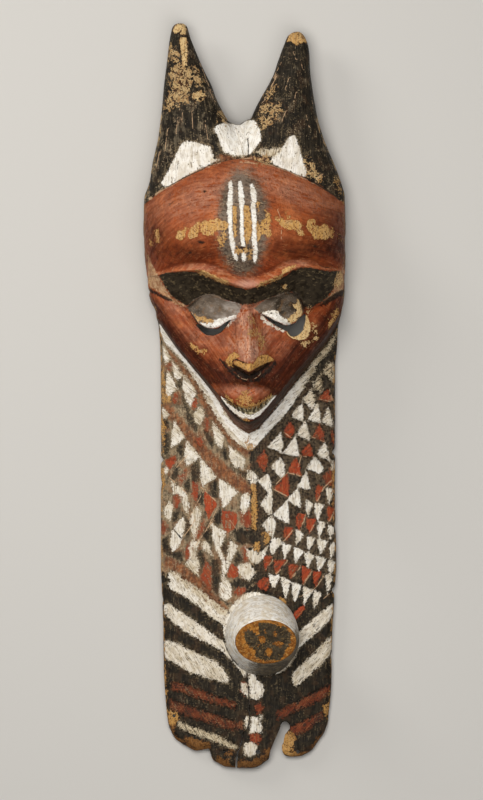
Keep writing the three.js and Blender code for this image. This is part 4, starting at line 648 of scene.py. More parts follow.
# thin lines: points, half width in mm, tint
LIGHT_LINES = [
    # the first three run along the top edge of the forehead's arc: painted highlight on that lit edge
    ([(150, 199.4), (160, 191.6), (170, 186.6), (180, 180.4), (190, 175), (200, 170.4), (210, 167), (220, 163.4)], 1.1),
    ([(262, 163), (270, 165.4), (280, 169), (290, 173), (300, 177.6), (310, 181.6), (320, 187), (330, 193), (341, 201)], 0.7),
    ([(240, 162.6), (250, 163.4), (262, 165)], 0.8),
    ([(238, 376), (242, 378.6), (247, 380)], 0.3), ([(254, 379), (258, 376.6), (261, 373)], 0.3),
    ([(191, 311), (195, 318), (200, 324), (204, 328)], 0.7), ([(312, 184), (316, 181), (319, 177), (322, 175)], 0.9),
    ([(162, 470), (170, 478), (180, 487), (188, 495)], 0.5), ([(176, 468), (184, 459), (190, 452)], 0.45), ([(200, 486), (206, 492), (218, 503)], 0.55), ([(204, 490), (196, 505), (188, 520)], 0.4),
    ([(214, 520), (205, 532), (196, 545)], 0.45), ([(184, 536), (190, 528), (196, 518)], 0.45), ([(219, 505), (212, 519), (206, 530)], 0.4), ([(237, 530), (230, 520)], 0.4),
    ([(300, 455.4), (313, 458)], 0.6), ([(297, 471), (301, 457)], 0.45), ([(272.6, 488.6), (289, 497.4)], 0.6), ([(274, 486), (286, 474)], 0.5), ([(287.6, 472.6), (300.6, 476)], 0.6), ([(312, 437), (324, 441.6)], 0.55),
    ([(319.6, 399), (334.6, 402.6)], 0.6), ([(329, 388), (332.6, 400)], 0.5), ([(284, 541), (293, 530)], 0.6), ([(300, 531), (305.6, 516)], 0.7), ([(308.6, 535), (317, 519)], 0.6), ([(317.4, 501.6), (324, 487.6), (334, 479)], 0.7),
    ([(329.6, 521.6), (335.6, 508)], 0.6), ([(276.6, 574), (287.4, 561)], 0.7), ([(290, 580), (301, 566.6)], 0.8), ([(303, 585), (312.4, 570.6)], 0.8), ([(315.4, 588.4), (323.6, 576.4)], 0.8), ([(283, 431.6), (291, 437.6)], 0.5),
    ([(266, 569.6), (273, 560)], 0.5), ([(322, 600), (334, 590)], 0.4), ([(300, 597), (316, 588)], 0.35),
    ([(240, 160), (252, 158.4)], 0.5), ([(277, 210), (281, 222), (281, 240)], 0.35),
    # scratches along the horns
    ([(284, 57), (278.6, 68), (273.6, 78)], 0.4), ([(277, 76), (270.6, 88), (264, 100)], 0.5), ([(272.4, 85), (265, 98), (259.4, 109)], 0.4), ([(293, 52), (296, 60)], 0.35), ([(300, 60), (303, 70)], 0.35), ([(296, 92), (294, 102)], 0.35),
    ([(311, 94), (312.6, 104)], 0.45), ([(306, 115), (309, 128)], 0.35), ([(316, 120), (320, 134)], 0.35), ([(323, 140), (328, 152)], 0.4), ([(286, 111), (281.6, 122)], 0.4), ([(289, 78), (285, 90)], 0.35),
    ([(205, 78), (212, 92)], 0.45), ([(209, 90), (215, 102)], 0.35), ([(199.6, 63), (205, 76)], 0.4), ([(178, 118), (176, 134)], 0.35), ([(192, 112), (193, 130)], 0.35), ([(205, 122), (208, 140)], 0.35), ([(168, 128), (165, 150)], 0.35),
    ([(183, 106), (182, 122)], 0.3), ([(160, 150), (156, 170)], 0.4), ([(332, 158), (336, 170)], 0.4),
]
DARK_LINES = [
    # the second line, by the outer corner of the left eye, is a painted shadow
    ([(232.4, 366), (232.8, 361.4), (235, 359.4), (240, 361.4), (246, 364)], 0.9), ([(191, 313), (195, 319), (200, 326.6), (204, 331)], 0.6),
    ([(174, 530), (181.6, 538.6)], 0.7), ([(247.4, 139), (248.4, 147), (248, 157)], 0.6), ([(161, 186), (168, 187), (178, 181.6), (190, 175.6), (205, 168.8)], 0.5),
    ([(308, 180), (318, 185.4), (330, 193), (340, 200)], 0.9), ([(223.6, 640), (229, 654), (238, 665)], 0.5),
    ([(262, 423), (272, 413), (284, 399)], 0.5), ([(243, 249), (250, 248.6)], 0.8), ([(229.4, 401.4), (230.6, 405)], 0.9), ([(233.2, 404.2), (234.8, 408)], 0.9), ([(237, 406.4), (238.6, 410.6)], 1.1),
    ([(241.6, 408), (243.4, 413)], 1.1), ([(246, 408.2), (246.8, 412)], 0.7), ([(250, 408.2), (250.2, 411)], 0.7), ([(254.8, 407), (253.6, 411.6)], 1.1), ([(258.4, 405.4), (257.6, 409.6)], 0.8), ([(260.8, 403), (261, 407)], 1.3),
    ([(266, 400), (265.4, 404.4)], 0.9), ([(221.6, 401), (226, 406.2), (231, 411.8), (237, 417), (243, 421), (250, 422.8), (257, 420)], 1.3), ([(218.6, 116), (220, 118.6)], 1.2),
]
PITS = [((205, 192.4), 2.6, 1.2), ((201.4, 243), 3.0, 1.3), ((315, 247), 1.6, 1.2), ((190, 253.4), 1.8, 1.2), ((241.5, 248.4), 2.4, 1.2), ((253, 715), 1.4, 1.4), ((278, 597), 1.6, 1.4),
        ((210.5, 327), 0.8, 0.8), ((268, 312.5), 0.8, 0.7), ((271, 313.5), 0.8, 0.7), ((276, 316.5), 0.8, 0.7), ((289, 322), 1.0, 0.8), ((204, 752), 0.9, 0.9), ((215, 728), 1.0, 1.0)]


# ------------------------------------------------------------------ the grid that follows the carved lines
NF = 160                       # fine columns
SF, ST = 70, 94               # the saddle between the horns


def across(i, lift):
    c = 2 * i / NF - 1
    even = c - 0.07 * np.sin(math.pi * c)
    a, b = -0.11, 0.14
    horns = np.where(i <= SF, lerp(-1, a, i / SF),
                     np.where(i >= ST, lerp(b, 1, (i - ST) / (NF - ST)), lerp(a, b, (i - SF) / (ST - SF))))
    return lerp(even, horns, lift)


def spot(a, y):
    return lerp(EDGE_LEFT(y), EDGE_RIGHT(y), (a + 1) / 2)


def settle(line, a):
    y = line(spot(a, np.zeros_like(a)))
    for _ in range(14):
        y = lerp(y, line(spot(a, y)), 0.8)
    return y


NICKS = [(-96.5, -74, 3.4, 2.6), (104.5, -65, 3.6, 2.6), (104, -224.5, 3.8, 3.0), (-96.5, -101, 1.2, 3.5),
         (-111, 120, 1.3, 2.2), (104, -150, 1.0, 4), (-95, -236, 1.0, 4), (101, -300, 1.2, 3)]


def grid_point(i, y):
    """Outline-following place of a column."""
    return spot(i, y)


LINES = [
    (BOTTOM, 36, 1.0, True),
    (lambda x: np.full(np.shape(x), -351.7), 176, 0.95, True),
    (lambda x: jaw_foot(x) - 6, 4, 1.0, True),
    (jaw_foot, 8, 1.0, True),
    (jaw_top, 100, 1.0, True),
    (SOCKET, 13, 1.0, True),
    (BROW_EDGE, 8, 1.0, True),
    (BROW_TOP, 30, 1.0, True),
    (RIDGE, 46, 1.0, True),
    (lambda x: ARC(x) - 0.9, 3, 1.0, True),
    (lambda x: ARC(x) + 0.9, 5, 1.0, True),
    (lambda x: ARC(x) + 6.5, 24, 1.0, False),
    (TOP_EDGE, 0, 1.0, False),
]
cols = np.arange(NF + 1, dtype=float)
rows_xy, rows_fine = [], []
for k, (line, n, grow, fine) in enumerate(LINES):
    m = max(n, 1)
    for j in range(m):
        lift = 0.0
        if k >= 11:
            lift = float(step(0, 1, 1.0 if k == 12 else j / m))
        a = across(cols, lift)
        lo = settle(line, a)
        hi = settle(LINES[k + 1][0], a) if k + 1 < len(LINES) else lo
        y = lerp(lo, hi, (j / m) ** grow)
        x = spot(a, y)
        # nicks
        for nx, ny, depth, half in NICKS:
            side = -1 if nx < 0 else 1
            edge_x = EDGE_LEFT(y) if side < 0 else EDGE_RIGHT(y)
            inset = np.abs(x - edge_x)
            x = x - side * depth * bell(y - ny, half) * np.exp(-inset / 6)
        rows_xy.append(np.stack([x, y], 1))
        rows_fine.append(fine)
ROWS = len(rows_xy) - 1
flat_row = next(r for r in range(ROWS + 1) if rows_xy[r][:, 1].min() > BACK_FLAT_TO - 26 and rows_xy[r][0, 1] > ARC(rows_xy[r][0, 0]))


class Skin:
    """Collects sheets of points and faces, and welds those that meet."""

    def __init__(self):
        self.v, self.f, self.n = [], [], 0

    def add(self, pts, faces):
        self.v.append(np.asarray(pts, float))
        self.f += [tuple(int(q) + self.n for q in f) for f in faces]
        self.n += len(pts)

    def sheet(self, grid, flip=False):
        g = np.asarray(grid, float)
        r, c = g.shape[:2]
        idx = np.arange(r * c).reshape(r, c)
        a, b, d, e = idx[:-1, :-1].ravel(), idx[:-1, 1:].ravel(), idx[1:, 1:].ravel(), idx[1:, :-1].ravel()
        q = np.stack([a, b, d, e], 1)
        if flip:
            q = q[:, ::-1]
        self.add(g.reshape(-1, 3), q.tolist())

    def welded(self, tol=1e-4):
        v = np.concatenate(self.v)
        key = np.round(v / tol).astype(np.int64)
        _, first, inv = np.unique(key, axis=0, return_index=True, return_inverse=True)
        inv = inv.ravel()
        faces = []
        for f in self.f:
            g = [int(inv[q]) for q in f]
            h = [g[i] for i in range(len(g)) if g[i] != g[i - 1]]
            if len(set(h)) >= 3:
                faces.append(h)
        return v[first], faces


def lift_front(xy):
    x, y = xy[:, 0], xy[:, 1]
    z = np.maximum(front(x, y), back(x, y) + 2)
    # relief fades out on the very edge of the outline so that the walls stay clean
    s = 1 - np.abs(outline_across(x, y))
    z = z + relief(x, y) * step(0.0, 0.02, s)
    return np.stack([x, y, z], 1)


def sit_back(xy, on_floor):
    x, y = xy[:, 0], xy[:, 1]
    z = np.zeros_like(x) if on_floor else back(x, y)
    return np.stack([x, y, z], 1)


skin = Skin()
FRONT = [lift_front(r) for r in rows_xy]
BACK = [sit_back(r, j <= flat_row) for j, r in enumerate(rows_xy)]

# front sheets in blocks of equal density, with a row of fans where the density changes
start = 0
for j in range(1, ROWS + 1):
    if rows_fine[j] != rows_fine[start] or j == ROWS:
        end = j if j == ROWS and rows_fine[j] == rows_fine[start] else j - 1
        stride = 1 if rows_fine[start] else 2
        if end > start:
            skin.sheet([FRONT[q][::stride] for q in range(start, end + 1)])
        if end == j - 1:
            lo, hi = FRONT[j - 1], FRONT[j]
            if rows_fine[j]:               # coarse below, fine above
                pts = np.concatenate([lo[::2], hi])
                n0 = NF // 2 + 1
                fs = []
                for c in range(NF // 2):
                    fs += [(c, n0 + 2 * c + 1, n0 + 2 * c), (c, c + 1, n0 + 2 * c + 1), (c + 1, n0 + 2 * c + 2, n0 + 2 * c + 1)]
            else:                          # fine below, coarse above
                pts = np.concatenate([lo, hi[::2]])
                n0 = NF + 1
                fs = []
                for c in range(NF // 2):
                    fs += [(2 * c, 2 * c + 1, n0 + c), (2 * c + 1, n0 + c + 1, n0 + c), (2 * c + 1, 2 * c + 2, n0 + c + 1)]
            skin.add(pts, fs)
        start = j


def wall(lo, hi, strips, bulge, flip=False):
    """Side wall between the back edge and the front edge, slightly barrel-shaped."""
    lo, hi = np.asarray(lo, float), np.asarray(hi, float)
    grid = []
    for q in range(strips + 1):
        t = q / strips
        p = lerp(lo, hi, t)
        if bulge is not None and 0 < q < strips:
            p[:, 0] += bulge[:, 0] * math.sin(math.pi * t)
            p[:, 1] += bulge[:, 1] * math.sin(math.pi * t)
        grid.append(p)
    skin.sheet(grid, flip)


left_lo = np.array([BACK[j][0] for j in range(ROWS + 1)])
left_hi = np.array([FRONT[j][0] for j in range(ROWS + 1)])
right_lo = np.array([BACK[j][-1] for j in range(ROWS + 1)])
right_hi = np.array([FRONT[j][-1] for j in range(ROWS + 1)])
STRIPS = 4


def barrel(p, side):
    h = np.minimum(left_hi[:, 2] - left_lo[:, 2], 30) if side < 0 else np.minimum(right_hi[:, 2] - right_lo[:, 2], 30)
    w = 0.25 * noise(p[:, 1], p[:, 1] * 0, 0, 9, 21) + 0.2
    j = np.arange(len(p))
    w = w * np.clip(np.minimum(j, len(p) - 1 - j) / 8, 0, 1)      # nothing at the corners, where the walls meet
    return np.stack([side * w * h / 14, np.zeros(len(p))], 1)


wall(left_lo, left_hi, STRIPS, barrel(left_lo, -1), flip=True)
wall(right_lo, right_hi, STRIPS, barrel(right_lo, 1))
wall(BACK[0], FRONT[0], STRIPS, None)
wall(BACK[ROWS][SF:ST + 1:2], FRONT[ROWS][SF:ST + 1:2], STRIPS, None, flip=True)

# back of the slab from where it leaves the floor up to the horns
skin.sheet([BACK[j][::2] for j in range(flat_row, ROWS + 1)], flip=True)

# horns
HORN_ROWS = 62


def horn(first, last, outer, inner, tip, leftward, seed):
    root_xy = rows_xy[ROWS][first:last + 1:2]
    zf = FRONT[ROWS][first:last + 1:2, 2]
    zb = BACK[ROWS][first:last + 1:2, 2]
    n = len(root_xy) - 1
    f = np.arange(n + 1) / n
    tops, bots = [], []
    for j in range(HORN_ROWS + 1):
        w = j / HORN_ROWS
        rise = 1 - (1 - w) ** 1.25
        y = lerp(root_xy[:, 1], tip[1] - 0.12, rise)
        a, b = (outer(y), inner(y)) if leftward else (inner(y), outer(y))
        tipward = np.clip((tip[1] - y) / 7, 0, 1)
        cap = (1 - (1 - tipward) ** 2.5) ** 0.4
        mid = lerp(tip[0], (a + b) / 2, tipward)
        x = mid + (f - 0.5) * (b - a) * cap
        if j == 0:
            x = root_xy[:, 0].copy()
        s = 2 * f - 1
        blend = step(0, 3 * HORN_ROWS / 9, j)
        blend = max(float(blend), 0.35 * min(1, j / (HORN_ROWS / 9)))
        rr = 1 + horn_half(y) * rnd(s, 2.3, 0.5) * cap
        carve = (0.8 * facets(x, y, 8, 12, 2.8) - 0.4 + 0.32 * noise(x, y * 0.16, 0, 3.2, 6)
                 + 0.35 * noise(x, y, 0, 31, 3) + 0.2 * noise(x, y, 0, 13, 4))
        edge_fade = step(0, 0.12, 1 - np.abs(s)) * np.minimum(1, cap * 1.2)
        zt = lerp(zf - relief(x, y) * (j > 0), HORN_MID + rr, blend) + np.where(j > 0, carve * edge_fade, 0)
        zu = lerp(zb, HORN_MID - rr, blend) + np.where(j > 0, 0.7 * (facets(x + 90, y, 9, 17, 2.4) - 0.5) * edge_fade, 0)
        if j == 0:
            zt, zu = zf, zb
        tops.append(np.stack([x, y, zt], 1))
        bots.append(np.stack([x, y, zu], 1))
    skin.sheet(tops)
    skin.sheet(bots, flip=True)
    side_l = [np.array([bots[j][0] for j in range(HORN_ROWS + 1)]), np.array([tops[j][0] for j in range(HORN_ROWS + 1)])]
    side_r = [np.array([bots[j][-1] for j in range(HORN_ROWS + 1)]), np.array([tops[j][-1] for j in range(HORN_ROWS + 1)])]
    return side_l, side_r, tops[-1], bots[-1]


for args in ((0, SF, HORN_L_OUT, HORN_L_IN, TIP_L, True, 1), (ST, NF, HORN_R_OUT, HORN_R_IN, TIP_R, False, 2)):
    sl, sr, tt, tb = horn(*args)
    # the first wall point is shared with the slab's wall or the saddle's, which has STRIPS steps
    for (lo, hi), flip in ((sl, True), (sr, False)):
        wall(lo, hi, STRIPS, None, flip)
    wall(tb, tt, STRIPS, None, flip=True)

# ------------------------------------------------------------------ flat back and the hollow in it
HOLLOW_MID, HOLLOW_HALF, HOLLOW_UP, HOLLOW_DOWN = (3, 140), 97, 128, 160
HOLLOW_ROOF = Curve([[-20, 52], [0, 64], [30, 71], [60, 73], [82, 75], [104, 67], [118, 63], [132, 76],
                     [150, 85.5], [166, 95], [190, 101], [230, 99], [268, 68]])
SEG, RINGS = 112, 34
rim_pts = []
rings = []
th = np.arange(SEG) * 2 * math.pi / SEG
cth, sth = np.cos(th), np.sin(th)
ee = np.where(sth > 0, 2.3, 1.4)
bb = np.where(sth > 0, HOLLOW_UP, HOLLOW_DOWN)
reach = (np.abs(cth / HOLLOW_HALF) ** ee + np.abs(sth / bb) ** ee) ** (-1 / ee)
for q in range(RINGS + 1):
    r = 1 - (q / RINGS) ** 1.6 if q < RINGS else 0.0
    r = max(r, 0.0)
    x = HOLLOW_MID[0] + r * reach * cth
    y = HOLLOW_MID[1] + r * reach * sth
    dome = np.sqrt(max(1 - r ** 4, 0))
    z = HOLLOW_ROOF(y) * dome - 1.5 * dome
    gouge = 0.9 * facets(x, y, 10, 31, 1.8) - 0.45 + 0.4 * noise(x, y, 0, 20, 33)
    z = z - np.abs(gouge) * min(1.0, (q / 5)) * 0.9
    if q == 0:
        z = np.zeros_like(x)
    rings.append(np.stack([x, y, z], 1))
# hollow surface faces down and inwards
pts = np.concatenate(rings[:-1] + [rings[-1][:1]])
fs = []
for q in range(RINGS - 1):
    for c in range(SEG):
        d = (c + 1) % SEG
        a0, a1, b0, b1 = q * SEG + c, q * SEG + d, (q + 1) * SEG + c, (q + 1) * SEG + d
        fs.append((a0, b0, b1, a1))
centre = RINGS * SEG
for c in range(SEG):
    d = (c + 1) % SEG
    fs.append(((RINGS - 1) * SEG + c, centre, (RINGS - 1) * SEG + d))
skin.add(pts, fs)

outer_loop = [tuple(p[:2]) for p in BACK[0]]
outer_loop += [tuple(BACK[j][-1][:2]) for j in range(1, flat_row + 1)]
outer_loop += [tuple(p[:2]) for p in BACK[flat_row][::-1][::2][1:]]
outer_loop += [tuple(BACK[j][0][:2]) for j in range(flat_row - 1, 0, -1)]
inner_loop = [tuple(p[:2]) for p in rings[0]]
co = [Vector(p) for p in outer_loop + inner_loop]
nO, nI = len(outer_loop), len(inner_loop)
edges = [(i, (i + 1) % nO) for i in range(nO)] + [(nO + i, nO + (i + 1) % nI) for i in range(nI)]
gx, gy = np.meshgrid(np.arange(-112, 113, 7.5), np.arange(-424, 245, 7.5))
gx = gx.ravel() + 1.2 * noise(gx.ravel(), gy.ravel(), 0, 9, 41)
gy = gy.ravel() + 1.2 * noise(gx, gy.ravel(), 0, 9, 42)
a, b = EDGE_LEFT(gy), EDGE_RIGHT(gy)
hr = np.arctan2(gy - HOLLOW_MID[1], gx - HOLLOW_MID[0])
hc, hs = np.cos(hr), np.sin(hr)
he = np.where(hs > 0, 2.3, 1.4)
hb = np.where(hs > 0, HOLLOW_UP, HOLLOW_DOWN)
hreach = (np.abs(hc / HOLLOW_HALF) ** he + np.abs(hs / hb) ** he) ** (-1 / he)
keep = (gx > a + 4) & (gx < b - 4) & (gy > BOTTOM(gx) + 4) & (np.hypot(gx - HOLLOW_MID[0], gy - HOLLOW_MID[1]) > hreach + 4)
top_line = np.interp(gx, [p[0] for p in BACK[flat_row]], [p[1] for p in BACK[flat_row]])
keep &= gy < top_line - 4
co += [Vector((float(px), float(py))) for px, py in zip(gx[keep], gy[keep])]
res = mgeo.delaunay_2d_cdt(co, edges, [], 1, 1e-5)
vv = np.array([[p.x, p.y, 0.0] for p in res[0]])
tri = []
for f in res[2]:
    c = vv[list(f)].mean(0)
    r = math.atan2(c[1] - HOLLOW_MID[1], c[0] - HOLLOW_MID[0])
    ca, sa = math.cos(r), math.sin(r)
    e_, b_ = (2.3, HOLLOW_UP) if sa > 0 else (1.4, HOLLOW_DOWN)
    rc = (abs(ca / HOLLOW_HALF) ** e_ + abs(sa / b_) ** e_) ** (-1 / e_)
    if math.hypot(c[0] - HOLLOW_MID[0], c[1] - HOLLOW_MID[1]) < rc * 0.999 - 0.02:
        continue
    tri.append(tuple(f)[::-1])
# exact loop positions so that the weld closes
orig = {}
loop_xy = np.array(outer_loop + inner_loop)
for k, src in enumerate(res[3]):
    for s_ in src:
        if s_ < len(loop_xy):
            vv[k, :2] = loop_xy[s_]
skin.add(vv, tri)


def to_object(name, verts_mm, faces):
    me = bpy.data.meshes.new(name)
    me.from_pydata([tuple(p) for p in (np.asarray(verts_mm) / 1000.0)], [], faces)
    me.validate()
    me.update()
    ob = bpy.data.objects.new(name, me)
    bpy.context.scene.collection.objects.link(ob)
    return ob


v_mm, f_all = skin.welded(1e-3)
mask = to_object("carved_mask", v_mm, f_all)
bm = bmesh.new()
bm.from_mesh(mask.data)
bmesh.ops.recalc_face_normals(bm, faces=bm.faces)
open_edges = [e for e in bm.edges if len(e.link_faces) != 2]
print("verts", len(bm.verts), "faces", len(bm.faces), "open or extra edges", len(open_edges), "volume l", bm.calc_volume() * 1000)
for e in open_edges[:12]:
    print("  ", [tuple(round(c * 1000, 2) for c in v.co) for v in e.verts], len(e.link_faces))
bm.to_mesh(mask.data)
bm.free()

# ------------------------------------------------------------------ boss
def boss_object():
    seg, ringn = 96, 30
    pts, fs = [], []
    ts = np.linspace(0, 1, ringn + 1)
    th = np.arange(seg) * 2 * math.pi / seg
    for t in ts:
        w = t ** 0.72
        hx = lerp(43, 36, w) + 2.5 * math.sin(math.pi * t)
        hy = lerp(54, 26, w) + 2.5 * math.sin(math.pi * t)
        soft = 1 - 0.02 * max(0, (t - 0.9) / 0.1) ** 2
        cx, cy = np.cos(th) * hx * soft, np.sin(th) * hy * soft
        n = 0.5 * noise(np.cos(th) * 40, np.sin(th) * 40, t * 60, 16, 51) + 0.35 * (facets(th * 40, np.full(seg, t * 60), 12, 52) - 0.4)
        cx, cy = cx * (1 + n * 0.018), cy * (1 + n * 0.018)
        x = lerp(18.5, 24.5, w) + cx
        y = lerp(-275.5, -283.5, w) + cy
        z = lerp(12, 73 + cy * math.tan(0.40), t)
        pts.append(np.stack([x, y, np.broadcast_to(z, x.shape)], 1))
    # worn flat end, slightly dished, in rings
    rim = pts[-1]
    mid = rim.mean(0)
    ends = []
    for q in np.linspace(0.94, 0.08, 14):
        p = mid + (rim - mid) * q
        p[:, 2] += 0.6 * (1 - q) * 0.4 + 0.35 * noise(p[:, 0], p[:, 1], 0, 7, 55) * min(1, (1 - q) * 6)
        ends.append(p)
    pts += ends
    total = len(pts)
    base = pts[0].mean(0)
    allp = np.concatenate(pts + [pts[-1].mean(0)[None, :], base[None, :]])
    for r in range(total - 1):
        for c in range(seg):
            d = (c + 1) % seg
            fs.append((r * seg + c, r * seg + d, (r + 1) * seg + d, (r + 1) * seg + c))
    tip, bot = total * seg, total * seg + 1
    for c in range(seg):
        d = (c + 1) % seg
        fs.append(((total - 1) * seg + c, (total - 1) * seg + d, tip))
        fs.append((d, c, bot))
    return to_object("boss_tool", allp, fs)


def prism(name, pts, z0, z1):
    """Upright closed prism over an outline in millimetres."""
    n = len(pts)
    vs = [(p[0], p[1], z0) for p in pts] + [(p[0], p[1], z1) for p in pts]
    area = sum(pts[i][0] * pts[(i + 1) % n][1] - pts[(i + 1) % n][0] * pts[i][1] for i in range(n))
    order = list(range(n)) if area > 0 else list(range(n))[::-1]
    fs = [tuple(order[::-1]), tuple(n + q for q in order)]
    for k in range(n):
        a_, b_ = order[k], order[(k + 1) % n]
        fs.append((a_, b_, n + b_, n + a_))
    ob = to_object(name, vs, fs)
    b = bmesh.new()
    b.from_mesh(ob.data)
    bmesh.ops.triangulate(b, faces=b.faces)
    bmesh.ops.recalc_face_normals(b, faces=b.faces)
    b.to_mesh(ob.data)
    b.free()
    return ob


def spline_loop(pts, per=6):
    """Closed Catmull-Rom loop."""
    out = []
    n = len(pts)
    for i in range(n):
        p0, p1, p2, p3 = [np.array(pts[(i + o) % n], float) for o in (-1, 0, 1, 2)]
        for q in range(per):
            t = q / per
            out.append(tuple(0.5 * ((2 * p1) + (-p0 + p2) * t + (2 * p0 - 5 * p1 + 4 * p2 - p3) * t * t
                                    + (-p0 + 3 * p1 - 3 * p2 + p3) * t ** 3)))
    return out


def spline_path(pts, per=8):
    out = []
    n = len(pts)
    for i in range(n - 1):
        p0, p1, p2, p3 = [np.array(pts[min(max(i + o, 0), n - 1)], float) for o in (-1, 0, 1, 2)]
        for q in range(per):
            t = q / per
            out.append(tuple(0.5 * ((2 * p1) + (-p0 + p2) * t + (2 * p0 - 5 * p1 + 4 * p2 - p3) * t * t
                                    + (-p0 + 3 * p1 - 3 * p2 + p3) * t ** 3)))
    out.append(tuple(pts[-1]))
    return out


def wander(pts, amp, scale, seed):
    q = np.array(pts)
    return [(float(a_ + amp * noise(a_, b_, 0, scale, seed)), float(b_ + amp * noise(b_, a_, 3, scale, seed + 1))) for a_, b_ in q]


def blob(name, c, r, seg=24, ringn=14, seed=0, rough=0.0):
    """Closed ellipsoid, slightly uneven."""
    pts, fs = [], []
    for i in range(1, ringn):
        ph = math.pi * i / ringn
        for j in range(seg):
            t = 2 * math.pi * j / seg
            d = np.array([math.sin(ph) * math.cos(t), math.sin(ph) * math.sin(t), math.cos(ph)])
            k_ = 1 + rough * float(noise(np.array([d[0] * 9 + seed]), np.array([d[1] * 9]), np.array([d[2] * 9]), 5, 61)[0])
            pts.append((c[0] + r[0] * d[0] * k_, c[1] + r[1] * d[1] * k_, c[2] + r[2] * d[2] * k_))
    top, bot = len(pts), len(pts) + 1
    pts += [(c[0], c[1], c[2] + r[2]), (c[0], c[1], c[2] - r[2])]
    for i in range(ringn - 2):
        for j in range(seg):
            k2 = (j + 1) % seg
            fs.append((i * seg + j, (i + 1) * seg + j, (i + 1) * seg + k2, i * seg + k2))
    for j in range(seg):
        k2 = (j + 1) % seg
        fs.append((top, j, k2))
        fs.append(((ringn - 2) * seg + j, bot, (ringn - 2) * seg + k2))
    return to_object(name, pts, fs)


tools = []


def boolean(tool, op):
    mod = mask.modifiers.new("cut", "BOOLEAN")
    mod.operation = op
    mod.object = tool
    mod.solver = "MANIFOLD"
    bpy.context.view_layer.update()
    dg = bpy.context.evaluated_depsgraph_get()
    new = bpy.data.meshes.new_from_object(mask.evaluated_get(dg))
    before = len(mask.data.vertices)
    mask.modifiers.clear()
    old = mask.data
    if len(new.vertices) < 0.5 * before:
        print("boolean lost the mesh:", tool.name)
        bpy.data.meshes.remove(new)
    else:
        mask.data = new
        bpy.data.meshes.remove(old)
    bpy.data.objects.remove(tool, do_unlink=True)


boolean(boss_object(), "UNION")

SLIT_LEFT_LOOP = [(-55.5, 81), (-51.5, 82.2), (-45.5, 78.9), (-38, 77), (-31, 77.8), (-26, 81), (-21.5, 84.6), (-15.5, 87.4),
                  (-18.5, 83.2), (-21.5, 79.5), (-27, 73), (-32, 70.6), (-37.5, 69.2), (-43.5, 69.8), (-49, 73.6)]
SLIT_RIGHT_LOOP = [(21.5, 93), (27, 90.4), (36.5, 85.6), (45.5, 81.2), (52, 80.0), (50, 75), (45.5, 75.8), (36.5, 80.8), (27, 87.6)]
HOLE_LOOP = [(49, 80.6), (54, 82.4), (58.5, 84.4), (62, 87.8), (66.5, 92.2), (70, 94.6), (70.8, 90), (69.4, 83), (67.5, 76.6),
             (64, 71.8), (60, 69), (56, 67.8), (52.2, 70), (49.5, 74.4)]
boolean(prism("slit_left", wander(spline_loop(SLIT_LEFT_LOOP, 4), 0.25, 3, 71), 28, 140), "DIFFERENCE")
boolean(prism("slit_right", wander(spline_loop(SLIT_RIGHT_LOOP, 4), 0.25, 3, 73), 28, 140), "DIFFERENCE")
boolean(prism("eye_break", wander(spline_loop(HOLE_LOOP, 5), 0.5, 4, 75), 28, 140), "DIFFERENCE")
NOTCH = [(24, -446), (29.5, -410.5), (36.5, -395.5), (39.5, -387.5), (42, -380.5), (44, -377.6), (47, -376.6), (50.2, -378), (52.4, -381),
         (52.8, -385), (50, -388.4), (47, -392), (45.4, -397), (45, -401), (43.4, -404.6), (43.5, -408.5), (44.4, -412), (47, -417), (50, -446)]
boolean(prism("notch", wander(NOTCH, 0.4, 5, 77), -20, 60), "DIFFERENCE")
# the long drying crack under the boss, open at the lower edge
CRACK = [(244.2, 668, 0.25), (246.6, 675, 0.45), (248.2, 690, 0.55), (249.2, 705, 0.6), (249.0, 721, 0.75), (247, 729, 0.8), (243.6, 733, 0.7),
         (241.8, 738, 0.9), (240.8, 745, 1.0), (238, 752, 1.2), (236.9, 757, 1.5), (236.3, 766, 1.9), (236.2, 772, 2.1)]
left_side = [(u - w * 0.5, v) for u, v, w in CRACK]
right_side = [(u + w * 0.5, v) for u, v, w in CRACK]
crack_loop = wander(P(spline_path(left_side, 4)), 0.22, 4, 81) + wander(P(spline_path(right_side, 4)), 0.22, 4, 83)[::-1]
boolean(prism("crack", crack_loop, -20, 60), "DIFFERENCE")
for name, (cu, cv), r, n in (("nail_a", (174, 716), 1.9, 14), ("nail_b", (224.2, 752.2), 1.5, 12),
                             ("nail_c", (258, 752), 2.9, 7), ("nail_d", (298, 752), 2.1, 14)):
    cx, cy = float((cu - CU) * K), float((CV - cv) * K)
    boolean(prism(name, [(cx + r * (1 + 0.12 * math.sin(3 * q)) * math.cos(q), cy + r * math.sin(q)) for q in [2 * math.pi * k_ / n for k_ in range(n)]],
                  -20, 60), "DIFFERENCE")
for side in (-1, 1):
    boolean(blob("nostril_%d" % side, (5.2 + side * 7.2, 22.5, 97), (4.6, 6.5, 8)), "DIFFERENCE")

print("after cutting:", len(mask.data.vertices), "verts")

me = mask.data
me.materials.clear()
print("triangles", sum(len(p.vertices) - 2 for p in me.polygons))
for p in me.polygons:
    p.use_smooth = True

# ------------------------------------------------------------------ paint as distances on the finished surface
def poly_inside_distance(x, y, pts):
    """Signed distance to an outline in millimetres, positive inside."""
    n = len(pts)
    best = np.full(x.shape, 1e9)
    inside = np.zeros(x.shape, bool)
    for i in range(n):
        (x0, y0), (x1, y1) = pts[i], pts[(i + 1) % n]
        dx, dy = x1 - x0, y1 - y0
        t = np.clip(((x - x0) * dx + (y - y0) * dy) / max(dx * dx + dy * dy, 1e-9), 0, 1)
        best = np.minimum(best, (x - x0 - t * dx) ** 2 + (y - y0 - t * dy) ** 2)
        if y0 != y1:
            hit = ((y0 > y) != (y1 > y)) & (x < (x1 - x0) * (y - y0) / (y1 - y0) + x0)
            inside ^= hit
    d = np.sqrt(best)
    return np.where(inside, d, -d)


FAR = -9.0


